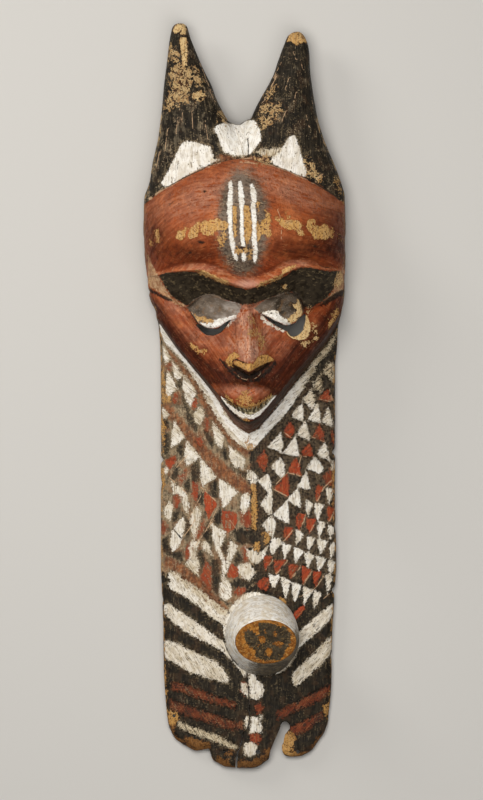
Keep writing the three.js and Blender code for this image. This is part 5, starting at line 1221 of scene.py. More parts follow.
def union_field(x, y, shapes, tint=None, grow=2.5):
    field = np.full(x.shape, FAR)
    for pts, shade in shapes:
        q = P(pts)
        ax, ay = np.array([p[0] for p in q]), np.array([p[1] for p in q])
        near = (x > ax.min() - 8) & (x < ax.max() + 8) & (y > ay.min() - 8) & (y < ay.max() + 8)
        d = poly_inside_distance(x[near], y[near], q)
        old = field[near]
        win = d > old
        field[near] = np.where(win, d, old)
        if tint is not None:
            tt = tint[near]
            tint[near] = np.where(win & (d > -grow), shade, tt)
    return np.maximum(field, FAR)


def line_field(x, y, lines):
    """Signed distance to the nearest thin line, in half widths: a line is where its size is under one."""
    out = np.full(x.shape, 9.0)
    best = np.full(x.shape, 1e9)
    plain = np.full(x.shape, 9.0)
    for pts, half in lines:
        if half <= 0:
            continue
        q = P(spline_path(pts, 5)) if len(pts) > 2 else P(pts)
        for i in range(len(q) - 1):
            (x0, y0), (x1, y1) = q[i], q[i + 1]
            near = (x > min(x0, x1) - 7) & (x < max(x0, x1) + 7) & (y > min(y0, y1) - 7) & (y < max(y0, y1) + 7)
            if not near.any():
                continue
            dx, dy = x1 - x0, y1 - y0
            ln = math.hypot(dx, dy) or 1e-9
            xx, yy = x[near] - x0, y[near] - y0
            t = (xx * dx + yy * dy) / (ln * ln)
            tc = np.clip(t, 0, 1)
            d = np.hypot(xx - tc * dx, yy - tc * dy)
            side = np.sign(xx * dy - yy * dx)
            side = np.where(side == 0, 1, side)
            ended = ((i == 0) & (t < -0.02)) | ((i == len(q) - 2) & (t > 1.02))
            side = np.where(ended, 1, side)
            b = best[near]
            win = d < b - 1e-9
            best[near] = np.where(win, d, b)
            out[near] = np.where(win, np.clip(side * d / half, -9, 9), out[near])
            plain[near] = np.where(win, np.minimum(d, 9), plain[near])
    return out, plain


co = np.empty(len(me.vertices) * 3)
me.vertices.foreach_get("co", co)
co = co.reshape(-1, 3) * 1000
nor = np.empty(len(me.vertices) * 3)
me.vertices.foreach_get("normal", nor)
nor = nor.reshape(-1, 3)
px, py, pz = co.T
a_edge, b_edge = EDGE_LEFT(py), EDGE_RIGHT(py)
on_horn = py > TOP_EDGE(px) + 0.5
up_face = (nor[:, 2] > 0.02) | on_horn
inner = np.hypot(px - HOLLOW_MID[0], py - HOLLOW_MID[1])


def hollow_reach(x, y):
    r = np.arctan2(y - HOLLOW_MID[1], x - HOLLOW_MID[0])
    c_, s_ = np.cos(r), np.sin(r)
    e_ = np.where(s_ > 0, 2.3, 1.4)
    b_ = np.where(s_ > 0, HOLLOW_UP, HOLLOW_DOWN)
    return (np.abs(c_ / HOLLOW_HALF) ** e_ + np.abs(s_ / b_) ** e_) ** (-1 / e_)


F = {}
tint = np.full(len(px), 0.3)
F["white"] = union_field(px, py, WHITE, tint)
F["white"] = np.maximum(F["white"], union_field(px, py, [(V_BAND, 0.05)], tint))
# the upper arm of the white V on the right, duller towards its upper end: worn paint and painted shade from the face
arm = (px > 46) & (py < 76) & (py > -10) & (F["white"] > -2)
tint = np.where(arm, np.clip((px - 50) / 38, 0, 1), tint)
collar_tint = np.full(len(px), 0.3)
collar = union_field(px, py, [(COLLAR, 0.15)], collar_tint)
won = collar > F["white"]
F["white"] = np.where(won, collar, F["white"])
tint = np.where(won & (collar > -2.5), 0.1 + 0.6 * np.clip((px - 30) / 30, 0, 1), tint)
F["red"] = union_field(px, py, RED, tint)
F["brown"] = union_field(px, py, BROWN, tint)
F["dark"] = union_field(px, py, DARK)
wear_tint = np.full(len(px), 0.4)
F["wear"] = union_field(px, py, WEAR, wear_tint, 7)
F["wearrough"] = wear_tint
F["band"] = poly_inside_distance(px, py, P(BAND)).clip(FAR, 9)
F["lid"] = union_field(px, py, LIDS)
F["teeth"] = poly_inside_distance(px, py, P(TEETH)).clip(FAR, 9)
F["temple"] = union_field(px, py, TEMPLES)
F["lightline"], F["lightfar"] = line_field(px, py, LIGHT_LINES)
F["darkline"], F["darkfar"] = line_field(px, py, DARK_LINES)
pits = np.full(len(px), FAR)
for c_, ru, rv in PITS:
    (cx, cy), = P([c_])
    pits = np.maximum(pits, (1 - np.sqrt(((px - cx) / (ru * K)) ** 2 + ((py - cy) / (rv * K)) ** 2)) * min(ru, rv) * K)
F["pit"] = pits.clip(FAR, 9)

jaw_f, jaw_t = jaw_foot(px), jaw_top(px)
slope = 1 / np.sqrt(1 + ((jaw_foot(px + 0.5) - jaw_foot(px - 0.5))) ** 2)
skin_d = np.minimum((ARC(px) - py) * 0.93, (py - jaw_f) * slope)
F["skin"] = skin_d.clip(FAR, 9)
F["wall"] = np.minimum((jaw_t - py), (py - jaw_f)).clip(FAR, 9) * slope
F["wallup"] = np.clip((py - jaw_f) / (jaw_t - jaw_f), -0.5, 1.5)
# the left part of the jaw wall, where it gets a painted highlight
F["walllit"] = np.clip((px + 40) / 12, 0, 1) * np.clip((14 - px) / 16, 0, 1)
F["lip"] = np.minimum(BROW_TOP(px) - py, py - BROW_EDGE(px)).clip(FAR, 9)
F["fore"] = np.minimum(ARC(px) - py, py - BROW_TOP(px)).clip(FAR, 90)
F["oval"] = ((1 - np.sqrt(((px + 1.6) / 28.5) ** 2 + ((py - 199) / 61) ** 2)) * 27).clip(-20, 20)
F["left"] = np.minimum(np.minimum(250 - U(px), V(py) - (JAW_FOOT(px) * 0 + 338)), 575 + (U(px) - 170) * 0.62 - V(py)).clip(-20, 20) * K
board_z = board(px, py)
(bx, by), = P([(260.5, 634)])
in_boss = ((px - 18.5) / 47) ** 2 + ((py + 275.5) / 58) ** 2 < 1
F["boss"] = np.where(in_boss & (nor[:, 2] > -0.9), pz - board_z - 1.2, FAR).clip(FAR, 30)
face_level = 73 + (py + 283.5) * math.tan(0.40)
rr = np.sqrt(((px - 24.5) / 36) ** 2 + ((py + 283.5) / 26) ** 2)
F["bossface"] = np.where((pz > face_level - 1.6) & (rr < 1.06), (1 - rr) * 26 + 0.3, FAR).clip(FAR, 30)
inset = np.minimum(px - a_edge, b_edge - px)
F["side"] = np.where(up_face | (F["boss"] > 0.3), 0.0, 1.0)
F["hollow"] = np.where((inner < hollow_reach(px, py) + 0.5) & (nor[:, 2] < 0.3) & (pz < 104), 1.0, 0.0)
F["under"] = np.where(nor[:, 2] < -0.5, 1.0, 0.0)
F["edge"] = np.minimum(inset, (py - BOTTOM(px)) * 0.9).clip(-5, 40)
beard_white = (py < 80) & (F["white"] > -3) & ~arm & (poly_inside_distance(px, py, P(V_BAND)) < -1)
F["tint"] = np.where(beard_white, tint + np.where(px < 8, 0.13, 0.03), tint).clip(0, 1)
steep = np.clip((0.42 - nor[:, 2]) / 0.42, 0, 1) * ~on_horn
F["steep"] = steep
flank = (F["boss"] > 0.3) & ~(F["bossface"] > -1)
F["white"] = np.maximum(F["white"] - 7 * steep, FAR)
F["wear"] = np.where(flank, FAR, np.maximum(F["wear"] - 8 * steep, FAR))
F["temple"] = np.maximum(F["temple"] - 6 * steep, FAR)
F["dark"] = np.maximum(F["dark"] - 2.5 * steep * (py < jaw_t + 2), FAR)
F["bossdark"] = poly_inside_distance(px, py, P(BOSS_DARK)).clip(FAR, 9)
boss_spots = np.full(len(px), FAR)
for c_, ru, rv in BOSS_SPOTS:
    (cx, cy), = P([c_])
    boss_spots = np.maximum(boss_spots, (1 - np.sqrt(((px - cx) / (ru * K)) ** 2 + ((py - cy) / (rv * K)) ** 2)) * min(ru, rv) * K)
F["bossspot"] = boss_spots.clip(FAR, 9)
# the boss's flank darker to the right and below: grime and painted shade
boss_turn = np.arctan2(py + 279, px - 21)
F["boss_grime_and_shade"] = np.clip((-np.sin(boss_turn) - 0.24 + 0.82 * np.cos(boss_turn)) * 1.4, 0, 1)
# how the bare wood has aged: 0 dark orange-brown, 0.5 ochre, 1 pale cream
vv, uu = V(py), U(px)
tone = np.full(len(px), 0.45)
tone = np.where(vv < 202, np.where(uu < 236, 0.90, np.where((vv < 60) | (vv > 180), 0.66, 0.92)), tone)
tone = np.where((vv > 202) & (vv < 262), 0.60, tone)
tone = np.where((vv > 248) & (vv < 290) & (uu < 152), 0.92, tone)
tone = np.where((vv > 262) & (vv < 300), 0.66, tone)
tone = np.where((vv > 300) & (vv < 350), 0.62, tone)
tone = np.where((vv > 285) & (vv < 350) & (uu > 284) & (uu < 318), 0.9, tone)
tone = np.where((vv > 262) & (vv < 300) & (uu > 330), 0.85, tone)
tone = np.where((vv > 350) & (vv < 380), 0.50, tone)
tone = np.where((vv > 380) & (vv < 425), 0.38, tone)
tone = np.where(vv > 725, 0.10 + 0.5 * np.exp(-(((uu - 287) / 9) ** 2 + ((vv - 745) / 14) ** 2)), tone)
F["tone"] = tone
# lime dust round the white marks, most on the left of the beard and in the hair
F["haze"] = np.where(vv < 175, 0.45, np.where(vv > 565, np.where((uu < 236) & (vv < 690), 0.34, 0.16), 0.16 + 0.34 * np.clip((262 - uu) / 24, 0, 1)))
# grey weathering of the horns, strongest on the left one
F["rubbed"] = np.clip((uu - 250) / 14, 0, 1) * np.clip((vv - 372) / 34, 0, 1) * np.clip((592 - vv) / 24, 0, 1)
F["weather"] = np.where(py > 215, np.where(uu < 236, 0.30 + 0.28 * np.clip((vv - 60) / 70, 0, 1), 0.10 + 0.10 * np.clip((110 - vv) / 60, 0, 1)), 0.0)
F["lidtone"] = np.clip(np.where(px < 5, 0.10 + 0.80 * (uu - 187) / 52, 0.02 + 0.52 * (303 - uu) / 49), 0, 1)
# how far the carved front lies below the ring round it; the skin is darker in the hollows
on_plate = up_face & ~on_horn & ~(F["boss"] > 0.3)
ring_mean = np.zeros(len(px))
for k_ in range(6):
    a_ = k_ * math.pi / 3
    ring_mean += front(px + 6 * math.cos(a_), py + 6 * math.sin(a_)) / 6
F["cav"] = np.where(on_plate, (ring_mean - front(px, py)).clip(-4, 4), 0.0)


def spots_field(items):
    out = np.zeros(len(px))
    for (cu, cv), (ru, rv), turn, amount in items:
        c_, s_ = math.cos(math.radians(turn)), math.sin(math.radians(turn))
        du, dv = U(px) - cu, V(py) - cv
        a_, b_ = (du * c_ + dv * s_) / ru, (-du * s_ + dv * c_) / rv
        out = out + amount * np.exp(-(a_ * a_ + b_ * b_))
    return out


# painted shade: darker in the hollows, under the swelling forms and low on the cheeks, where shade falls; spots with a
# negative amount paint light
PAINTED_SHADE_SPOTS = [((214, 386), (10, 7), 45, -0.45), ((151, 232), (12, 34), 0, 0.55), ((341, 236), (14, 40), 0, 0.65), ((190, 256), (44, 10), -4, 0.7), ((297, 252), (46, 12), 4, 0.66), ((322, 225), (16, 24), 0, 0.3), ((160, 233), (14, 9), 0, 0.35), ((152, 312), (9, 16), -30, 0.5), ((245, 270), (26, 6), 0, 0.35),
            ((292, 212), (36, 16), 30, 0.08), ((170, 246), (26, 9), 0, 0.35), ((318, 245), (24, 12), 0, 0.24), ((225, 250), (10, 12), 0, 0.3),
            ((216, 374), (20, 15), 30, 0.55), ((282, 372), (24, 18), -30, 0.75), ((247, 377), (40, 8), 0, 0.7), ((247, 383), (20, 6), 0, 0.8), ((180, 352), (12, 20), -40, 0.55), ((312, 342), (22, 34), 40, 0.5), ((330, 318), (10, 22), 20, 0.26),
            ((247, 400), (60, 8), 0, 0.15), ((196, 362), (18, 8), 45, 0.5), ((270, 340), (7, 16), -10, 0.25), ((222, 345), (9, 12), 0, 0.18), ((166, 326), (9, 22), -30, 0.72), ((196, 352), (30, 12), 40, 0.2), ((300, 352), (24, 12), -45, 0.10),
            ((209, 337), (20, 4), 5, 0.3), ((280, 334), (18, 4), 18, 0.3)]
# painted highlights: paler pinkish spots where light catches the nose, the lips, the brow lip and the top of the
# forehead
PAINTED_HIGHLIGHT_SPOTS = [((203, 337), (24, 10), 12, 0.28), ((176, 308), (14, 9), 25, 0.35), ((247, 330), (8, 36), 0, 0.75), ((251, 352), (11, 10), 0, 0.9), ((238, 318), (9, 8), 0, 0.5), ((232, 346), (10, 10), 0, 0.35),
         ((247, 390), (30, 6), 0, 0.5), ((247, 284), (14, 4), 0, 0.7), ((296, 264), (14, 3), 0, 0.3), ((205, 268), (24, 3), 5, 0.25), ((286, 350), (12, 10), 0, 0.2), ((268, 330), (8, 8), 0, 0.35), ((262, 341), (7, 10), 0, 0.3),
         ((200, 297), (8, 5), 0, 0.8), ((228, 306), (10, 4), 10, 0.8), ((262, 306), (8, 4), -20, 0.6), ((215, 190), (60, 14), -16, 0.35), ((296, 193), (40, 13), 22, 0.42), ((205, 207), (40, 16), -15, 0.2)]
rise_l = np.maximum(py - jaw_t, 0)
left_side_face = px < 5
shade = spots_field(PAINTED_SHADE_SPOTS)
# painted shade on the lower cheeks where they turn down to the jaw, heavier on the right; the next line paints the
# upper lip lighter
shade = shade + np.where(left_side_face, 0.75 * np.exp(-(rise_l / 17) ** 2), 0.95 * np.exp(-(rise_l / 27) ** 2)) * (py > jaw_f)
shade = shade - 0.5 * np.exp(-(((U(px) - 247) / 26) ** 2 + ((V(py) - 391) / 8) ** 2))
F["shade"] = shade.clip(0, 1)
F["painted_highlight"] = spots_field(PAINTED_HIGHLIGHT_SPOTS).clip(0, 1)
# deeper red on the cheeks; low on the forehead, where its swell turns down, the darker red is painted shade
F["deep_red_and_shade"] = np.clip(np.where(py < BROW_EDGE(px), 0.85, 0.15 + 0.85 * np.clip((V(py) - 236) / 26, 0, 1)) - 0.7 * F["painted_highlight"], 0, 1)

flow = np.zeros((len(px), 3))
fore_z = (py > BROW_EDGE(px)) & (py <= ARC(px))
hair_z = py > ARC(px)
face_z = (py <= BROW_EDGE(px)) & (py > jaw_f)
flow[:, 0], flow[:, 1] = px, py
ang = np.arctan2(px + 2, py - 40)
rad = np.hypot(px + 2, py - 40)
flow[fore_z, 0], flow[fore_z, 1] = (rad * 1.1 + 12 * np.sin(ang * 5))[fore_z], (ang * 150)[fore_z]
tip_x = np.where(px < 0, TIP_L[0], TIP_R[0])
flow[hair_z, 0] = (tip_x + (px - tip_x) / (np.maximum(470 - py, 30)) * 140)[hair_z]
perp = (py - jaw_f) * 0.72
flow[face_z, 0], flow[face_z, 1] = perp[face_z], (px * 0.9)[face_z]
under_brow = (F["band"] > -1) | (F["lid"] > -1)
flow[under_brow, 0], flow[under_brow, 1] = ((py - BROW_EDGE(px)) * 0.6)[under_brow], (px * 2.2)[under_brow]
on_nose = (np.abs(px - 5) < 15) & (py > 16) & (py < 100) & face_z
flow[on_nose, 0], flow[on_nose, 1] = (px * 0.8)[on_nose], py[on_nose]
# inside the painted stripes the brush followed the stripe
painted = (F["white"] > -1) | (F["red"] > -1)
for zone, turn in (((uu < 236) & (vv > 560), 32), ((uu > 262) & (vv > 560), -40), ((vv < 460) & (vv > 318) & (uu < 250), 52), ((vv < 460) & (vv > 318) & (uu >= 250), -52)):
    at_ = zone & painted & ~face_z
    c_, s_ = math.cos(math.radians(turn)), math.sin(math.radians(turn))
    flow[at_, 0], flow[at_, 1] = (px * c_ + py * s_)[at_] + 300, (px * s_ - py * c_)[at_]
bz = F["boss"] > 0.2
flow[bz, 0], flow[bz, 1] = pz[bz] * 1.1, (np.arctan2(py + 279, px - 21) * 44)[bz]
for name, values in F.items():
    at = me.attributes.new(name, "FLOAT", "POINT")
    at.data.foreach_set("value", np.asarray(values, np.float32))
at = me.attributes.new("flow", "FLOAT_VECTOR", "POINT")
at.data.foreach_set("vector", flow.astype(np.float32).ravel())

# ------------------------------------------------------------------ the painted, worn wood
mat = bpy.data.materials.new("painted_wood")
mat.use_nodes = True
nt = mat.node_tree
nt.nodes.clear()
N = nt.nodes
L = nt.links


def srgb(r, g, b):
    return tuple(((c / 255) / 12.92 if c <= 10.3 else ((c / 255 + 0.055) / 1.055) ** 2.4) for c in (r, g, b)) + (1,)


def link(a_, b_):
    L.new(a_, b_)


def put(sock, v):
    if hasattr(v, "links") or hasattr(v, "is_linked"):
        L.new(v, sock)
    else:
        sock.default_value = v


def calc(op, a_, b_=None, c_=None, clamp=False):
    n = N.new("ShaderNodeMath")
    n.operation = op
    n.use_clamp = clamp
    put(n.inputs[0], a_)
    if b_ is not None:
        put(n.inputs[1], b_)
    if c_ is not None:
        put(n.inputs[2], c_)
    return n.outputs[0]


def attr(name):
    n = N.new("ShaderNodeAttribute")
    n.attribute_name = name
    return n.outputs["Fac"]


coord = N.new("ShaderNodeTexCoord").outputs["Object"]


def stretch(sx, sy, sz, shift=(0, 0, 0)):
    n = N.new("ShaderNodeMapping")
    link(coord, n.inputs["Vector"])
    n.inputs["Scale"].default_value = (1000 * sx, 1000 * sy, 1000 * sz)
    n.inputs["Location"].default_value = shift
    return n.outputs["Vector"]


def tex(scale, detail=2.0, rough=0.5, vec=None, kind="Fac", w=None):
    n = N.new("ShaderNodeTexNoise")
    link(vec if vec is not None else stretch(1, 1, 1), n.inputs["Vector"])
    n.inputs["Scale"].default_value = scale
    n.inputs["Detail"].default_value = detail
    n.inputs["Roughness"].default_value = rough
    return n.outputs[kind]


def ramp(value, lo, hi, to_lo=0.0, to_hi=1.0):
    n = N.new("ShaderNodeMapRange")
    n.interpolation_type = "SMOOTHSTEP"
    put(n.inputs["Value"], value)
    put(n.inputs["From Min"], lo)
    put(n.inputs["From Max"], hi)
    put(n.inputs["To Min"], to_lo)
    put(n.inputs["To Max"], to_hi)
    return n.outputs["Result"]


def mix(fac, a_, b_, mode="MIX"):
    n = N.new("ShaderNodeMix")
    n.data_type = "RGBA"
    n.blend_type = mode
    n.clamp_factor = True
    put(n.inputs[0], fac)
    put(n.inputs[6], a_)
    put(n.inputs[7], b_)
    return n.outputs[2]


def along_flow(sx, sy):
    a_ = N.new("ShaderNodeAttribute")
    a_.attribute_name = "flow"
    n = N.new("ShaderNodeMapping")
    link(a_.outputs["Vector"], n.inputs["Vector"])
    n.inputs["Scale"].default_value = (sx, sy, 1)
    return n.outputs["Vector"]


SPREAD = {(0, 0.5): 0.124, (2, 0.5): 0.075, (3, 0.5): 0.070, (4, 0.6): 0.057}


def std(scale, detail=2, rough=0.5, vec=None, shift=(0, 0, 0)):
    """Noise brought to a mean of 0 and a spread of 1: above 1 lies a sixth of the surface, above 2 a fiftieth."""
    sd = SPREAD[(detail, rough)]
    return calc("MULTIPLY_ADD", tex(scale, detail, rough, vec if vec is not None else stretch(1, 1, 1, shift)), 1 / sd, -0.498 / sd)


def blend(*terms):
    out = None
    for v, w in terms:
        out = calc("MULTIPLY", v, w) if out is None else calc("MULTIPLY_ADD", v, w, out)
    return out


def over(v, at, soft=0.35, weight=1.0):
    """1 where the value passes the threshold, with a soft step."""
    if hasattr(at, "is_linked"):
        r = ramp(calc("SUBTRACT", v, at), -soft, soft)
    else:
        r = ramp(v, at - soft, at + soft)
    return r if weight == 1.0 and not hasattr(weight, "is_linked") else calc("MULTIPLY", r, weight)


def under(v, at, soft=0.35, weight=1.0):
    r = ramp(v, at + soft, at - soft)
    return calc("MULTIPLY", r, weight)


def times(a_, b_):
    return calc("MULTIPLY", a_, b_)


def plus(a_, b_):
    return calc("ADD", a_, b_)


z_low = std(0.028, 3)                       # tone that drifts over 35 mm
z_blob = std(0.07, 2)                       # stains near 14 mm
z_mid = std(0.16, 3)                        # blotches near 6 mm
z_small = std(0.33, 3)                      # mottling near 3 mm
z_fine = std(0.62, 2)                       # flakes near 1.6 mm
speck_a = std(0.50, 0, shift=(171.3, 64.9, 12.7))
speck_b = std(0.42, 0, shift=(-83.1, 219.4, 45.2))
speck_c = std(0.27, 2, shift=(311.7, -57.3, 8.4))
cluster_a = over(std(0.06, 2, shift=(41.7, -120.3, 7.7)), 0.2, 0.7)
cluster_b = over(std(0.08, 2, shift=(-211.2, 33.9, 3.1)), 0.2, 0.7)
z_stroke = std(1.0, 2, vec=along_flow(0.28, 0.045))      # brush and blade strokes
z_hatch = std(1.0, 2, vec=along_flow(0.60, 0.07))        # finer scratches in the same direction
z_grain = std(1.0, 3, vec=stretch(0.45, 0.04, 0.3))      # wood fibre along the log
z_fibre = std(1.0, 2, vec=stretch(0.85, 0.06, 0.5, (5.1, 3.3, 9.2)))
flecks = times(over(blend((z_fine, 0.6), (speck_a, 0.4), (z_hatch, 0.5)), 1.15, 0.3), cluster_a)
chips = times(over(blend((z_fine, -0.55), (speck_b, 0.45), (z_hatch, -0.5)), 1.25, 0.3), cluster_b)
tint_a = attr("tint")
tone_a = attr("tone")
cav = attr("cav")
ragged = blend((z_small, 0.72), (z_fine, 0.55), (z_mid, 0.42))
edge_shift = times(ragged, calc("MULTIPLY_ADD", tint_a, 1.1, 0.42))
rough_shift = times(blend((z_mid, 0.75), (z_small, 0.6), (z_blob, 0.4)), 1.7)


def mask_of(name, shift=edge_shift, at=0.0, soft=0.7, amount=1.0):
    v = calc("MULTIPLY_ADD", shift, amount, attr(name)) if shift is not None else attr(name)
    return ramp(v, at - soft, at + soft)


# bare wood, from dark orange-brown through ochre to pale cream
wood = mix(ramp(tone_a, 0.0, 0.5), srgb(112, 70, 32), srgb(206, 156, 86))
wood = mix(ramp(tone_a, 0.5, 1.0), wood, srgb(222, 192, 138))
wood = mix(over(z_grain, 0.4, 0.9, 0.28), wood, mix(tone_a, srgb(88, 54, 24), srgb(180, 134, 76)))
wood = mix(under(z_fibre, -0.5, 0.7, 0.42), wood, mix(tone_a, srgb(150, 100, 48), srgb(240, 218, 170)))
wood = mix(over(z_small, 1.1, 0.5, 0.55), wood, mix(tone_a, srgb(52, 34, 18), srgb(146, 94, 46)))
wood = mix(over(speck_b, 1.7, 0.3, 0.7), wood, mix(tone_a, srgb(34, 24, 14), srgb(112, 72, 38)))
# black ground
black = mix(over(z_mid, 0.0, 1.2), srgb(25, 20, 13), srgb(42, 36, 27))
black = mix(times(attr("rubbed"), 0.8), black, mix(over(z_small, 0.0, 1.2), srgb(56, 46, 35), srgb(92, 77, 60)))
black = mix(over(z_blob, 1.0, 0.7, 0.4), black, srgb(74, 52, 34))
black = mix(over(z_stroke, 0.9, 0.9, 0.26), black, srgb(72, 63, 50))
black = mix(over(z_hatch, 1.7, 0.5, 0.24), black, srgb(108, 96, 76))
black = mix(under(z_small, -1.0, 0.5, 0.5), black, srgb(25, 20, 14))
black = mix(times(flecks, 0.32), black, srgb(140, 122, 92))
# grey-brown ground on the left of the beard, rubbed
khaki = mix(over(z_mid, 0.0, 1.2), srgb(94, 80, 62), srgb(150, 130, 103))
khaki = mix(over(z_blob, 0.7, 0.8, 0.55), khaki, srgb(140, 94, 62))
khaki = mix(over(z_stroke, 0.6, 0.6, 0.5), khaki, srgb(172, 152, 122))
khaki = mix(under(z_small, -0.8, 0.8, 0.4), khaki, srgb(66, 56, 44))
khaki = mix(times(flecks, 0.45), khaki, srgb(204, 186, 154))
khaki = mix(times(chips, 0.4), khaki, srgb(44, 37, 29))
# terracotta skin, with painted shade and painted highlights in places
shade_v = calc("ADD", attr("shade"), times(z_mid, 0.06), clamp=True)
skin_c = mix(over(z_low, 0.0, 1.2), srgb(160, 78, 36), srgb(178, 98, 54))
skin_c = mix(over(z_mid, 0.4, 0.9, 0.22), skin_c, srgb(136, 66, 36))
skin_c = mix(times(attr("deep_red_and_shade"), over(z_blob, -0.6, 1.4, 0.9)), skin_c, srgb(150, 62, 28))
skin_c = mix(over(z_blob, 0.5, 0.8, 0.5), skin_c, srgb(126, 60, 32))
skin_c = mix(over(z_stroke, 0.6, 1.0, 0.15), skin_c, srgb(184, 112, 70))
skin_c = mix(under(z_stroke, -0.6, 1.0, 0.19), skin_c, srgb(112, 50, 24))
skin_c = mix(over(z_hatch, 1.8, 0.5, 0.18), skin_c, srgb(206, 150, 106))
skin_c = mix(under(z_hatch, -1.5, 0.5, 0.24), skin_c, srgb(90, 42, 22))
skin_c = mix(over(z_small, 1.2, 0.6, 0.26), skin_c, srgb(100, 46, 22))
# the skin darker in the hollows of the front
skin_c = mix(ramp(cav, 0.3, 2.6, 0.0, 0.4), skin_c, srgb(66, 30, 16))
# painted highlight laid over the skin
painted_highlight = times(attr("painted_highlight"), over(blend((z_stroke, 0.5), (z_small, 0.4), (z_mid, 0.4)), -0.6, 1.1, 0.86))
skin_c = mix(painted_highlight, skin_c, mix(over(z_mid, 0.2, 0.9), srgb(220, 174, 146), srgb(192, 144, 122)))
# skin darkened by the painted shade
skin_c = mix(times(shade_v, 0.95), skin_c, mix(over(z_stroke, 0.5, 1.2), srgb(46, 13, 0), srgb(72, 26, 6)))
skin_c = mix(times(flecks, 0.12), skin_c, srgb(202, 150, 104))
skin_c = mix(times(chips, 0.45), skin_c, srgb(50, 24, 13))
# red of the small marks
red_c = mix(tint_a, srgb(172, 68, 36), srgb(92, 48, 29))
red_c = mix(over(z_mid, 0.3, 0.7, 0.3), red_c, srgb(142, 78, 48))
red_c = mix(over(z_stroke, 0.5, 0.7, 0.35), red_c, srgb(84, 42, 26))
red_c = mix(over(z_small, 1.0, 0.5, 0.35), red_c, srgb(64, 36, 24))
red_c = mix(under(z_hatch, -1.4, 0.4, 0.4), red_c, srgb(180, 122, 80))
red_c = mix(times(flecks, 0.3), red_c, srgb(184, 146, 104))
brown_c = mix(over(z_mid, 0.0, 1.0), srgb(112, 68, 44), srgb(148, 94, 60))
brown_c = mix(over(z_stroke, 0.5, 0.6, 0.55), brown_c, srgb(92, 66, 47))
brown_c = mix(over(z_small, 1.2, 0.4, 0.3), brown_c, srgb(158, 130, 98))
brown_c = mix(under(z_small, -1.1, 0.5, 0.4), brown_c, srgb(66, 48, 33))
brown_c = mix(times(flecks, 0.35), brown_c, srgb(190, 166, 130))
# white clay
white_c = mix(tint_a, srgb(249, 246, 240), srgb(204, 187, 156))
white_c = mix(times(over(z_mid, 0.6, 0.8), calc("MULTIPLY_ADD", tint_a, 0.5, 0.22)), white_c, srgb(208, 194, 166))
white_c = mix(times(over(z_stroke, 0.7, 0.8), calc("MULTIPLY_ADD", tint_a, 0.5, 0.26)), white_c, srgb(188, 172, 144))
white_c = mix(times(over(z_small, 1.3, 0.5), calc("MULTIPLY_ADD", tint_a, 0.6, 0.05)), white_c, srgb(164, 144, 112))
white_c = mix(times(under(z_hatch, -1.2, 0.5), calc("MULTIPLY_ADD", tint_a, 0.6, 0.26)), white_c, srgb(152, 134, 106))
white_c = mix(times(chips, calc("MULTIPLY_ADD", tint_a, 0.5, 0.30)), white_c, srgb(120, 98, 70))

col = black
col = mix(mask_of("left", rough_shift, 0, 4.0, 2.0), col, khaki)
col = mix(mask_of("brown", ragged, 0, 1.9, 0.75), col, brown_c)
col = mix(times(mask_of("dark", ragged, 0, 1.2, 0.9), 0.92), col, black)
# bleached and rubbed surface of the horns
weather = attr("weather")
grey_m = over(blend((z_grain, 0.45), (z_mid, 0.5), (z_blob, 0.6)), calc("MULTIPLY_ADD", weather, -1.9, 2.0), 0.8, 0.5)
grey_m = times(grey_m, ramp(weather, 0.02, 0.08))
col = mix(grey_m, col, mix(over(z_mid, 0.2, 0.9), srgb(92, 83, 69), srgb(118, 107, 88)))
col = mix(times(over(blend((z_fibre, 0.6), (z_fine, 0.6), (z_blob, 0.4)), calc("MULTIPLY_ADD", weather, -1.0, 2.4), 0.35, 0.7), ramp(weather, 0.02, 0.08)), col, srgb(164, 146, 116))
# dirt and thin lime around the whites
white_edge = calc("MULTIPLY_ADD", ragged, calc("MULTIPLY_ADD", tint_a, 1.0, 0.32), attr("white"))
halo = times(ramp(calc("MULTIPLY_ADD", ragged, 1.3, attr("white")), -4.0, 0.2), attr("haze"))
skin_m = mask_of("skin", ragged, 0, 0.6, 0.35)
col = mix(times(halo, calc("SUBTRACT", 1.0, skin_m)), col, srgb(138, 120, 92))
col = mix(skin_m, col, skin_c)
# jaw wall: skin darkened to dark brown, partly painted shade, with a painted highlight of lighter terracotta on its lit
# left part and khaki near its foot
wall_t = calc("MULTIPLY_ADD", z_small, 0.10, attr("wallup"))
wall_c = mix(over(z_small, 0.3, 1.0), srgb(32, 16, 8), srgb(64, 33, 17))
wall_c = mix(over(z_mid, 0.8, 0.8, 0.4), wall_c, srgb(98, 54, 31))
wall_c = mix(times(attr("walllit"), ramp(wall_t, 0.72, 0.50)), wall_c, mix(over(z_mid, 0.2, 0.9), srgb(126, 76, 50), srgb(94, 54, 34)))
wall_c = mix(times(ramp(wall_t, 0.16, 0.04), 0.45), wall_c, srgb(134, 114, 86))
col = mix(times(mask_of("wall", None, 0.0, 1.5), 0.9), col, wall_c)
# brighter lip of the brow
lip_m = times(mask_of("lip", ragged, 0.4, 1.0, 0.3), 0.85)
lip_c = mix(over(z_mid, 0.0, 1.0), srgb(160, 82, 44), srgb(186, 106, 64))
lip_c = mix(over(z_stroke, 0.5, 0.6, 0.5), lip_c, srgb(206, 150, 112))
lip_c = mix(under(z_small, -0.9, 0.4, 0.5), lip_c, srgb(108, 54, 30))
# the painted highlight reaches the brow lip too
lip_c = mix(times(attr("painted_highlight"), 0.75), lip_c, srgb(206, 162, 146))
col = mix(lip_m, col, lip_c)
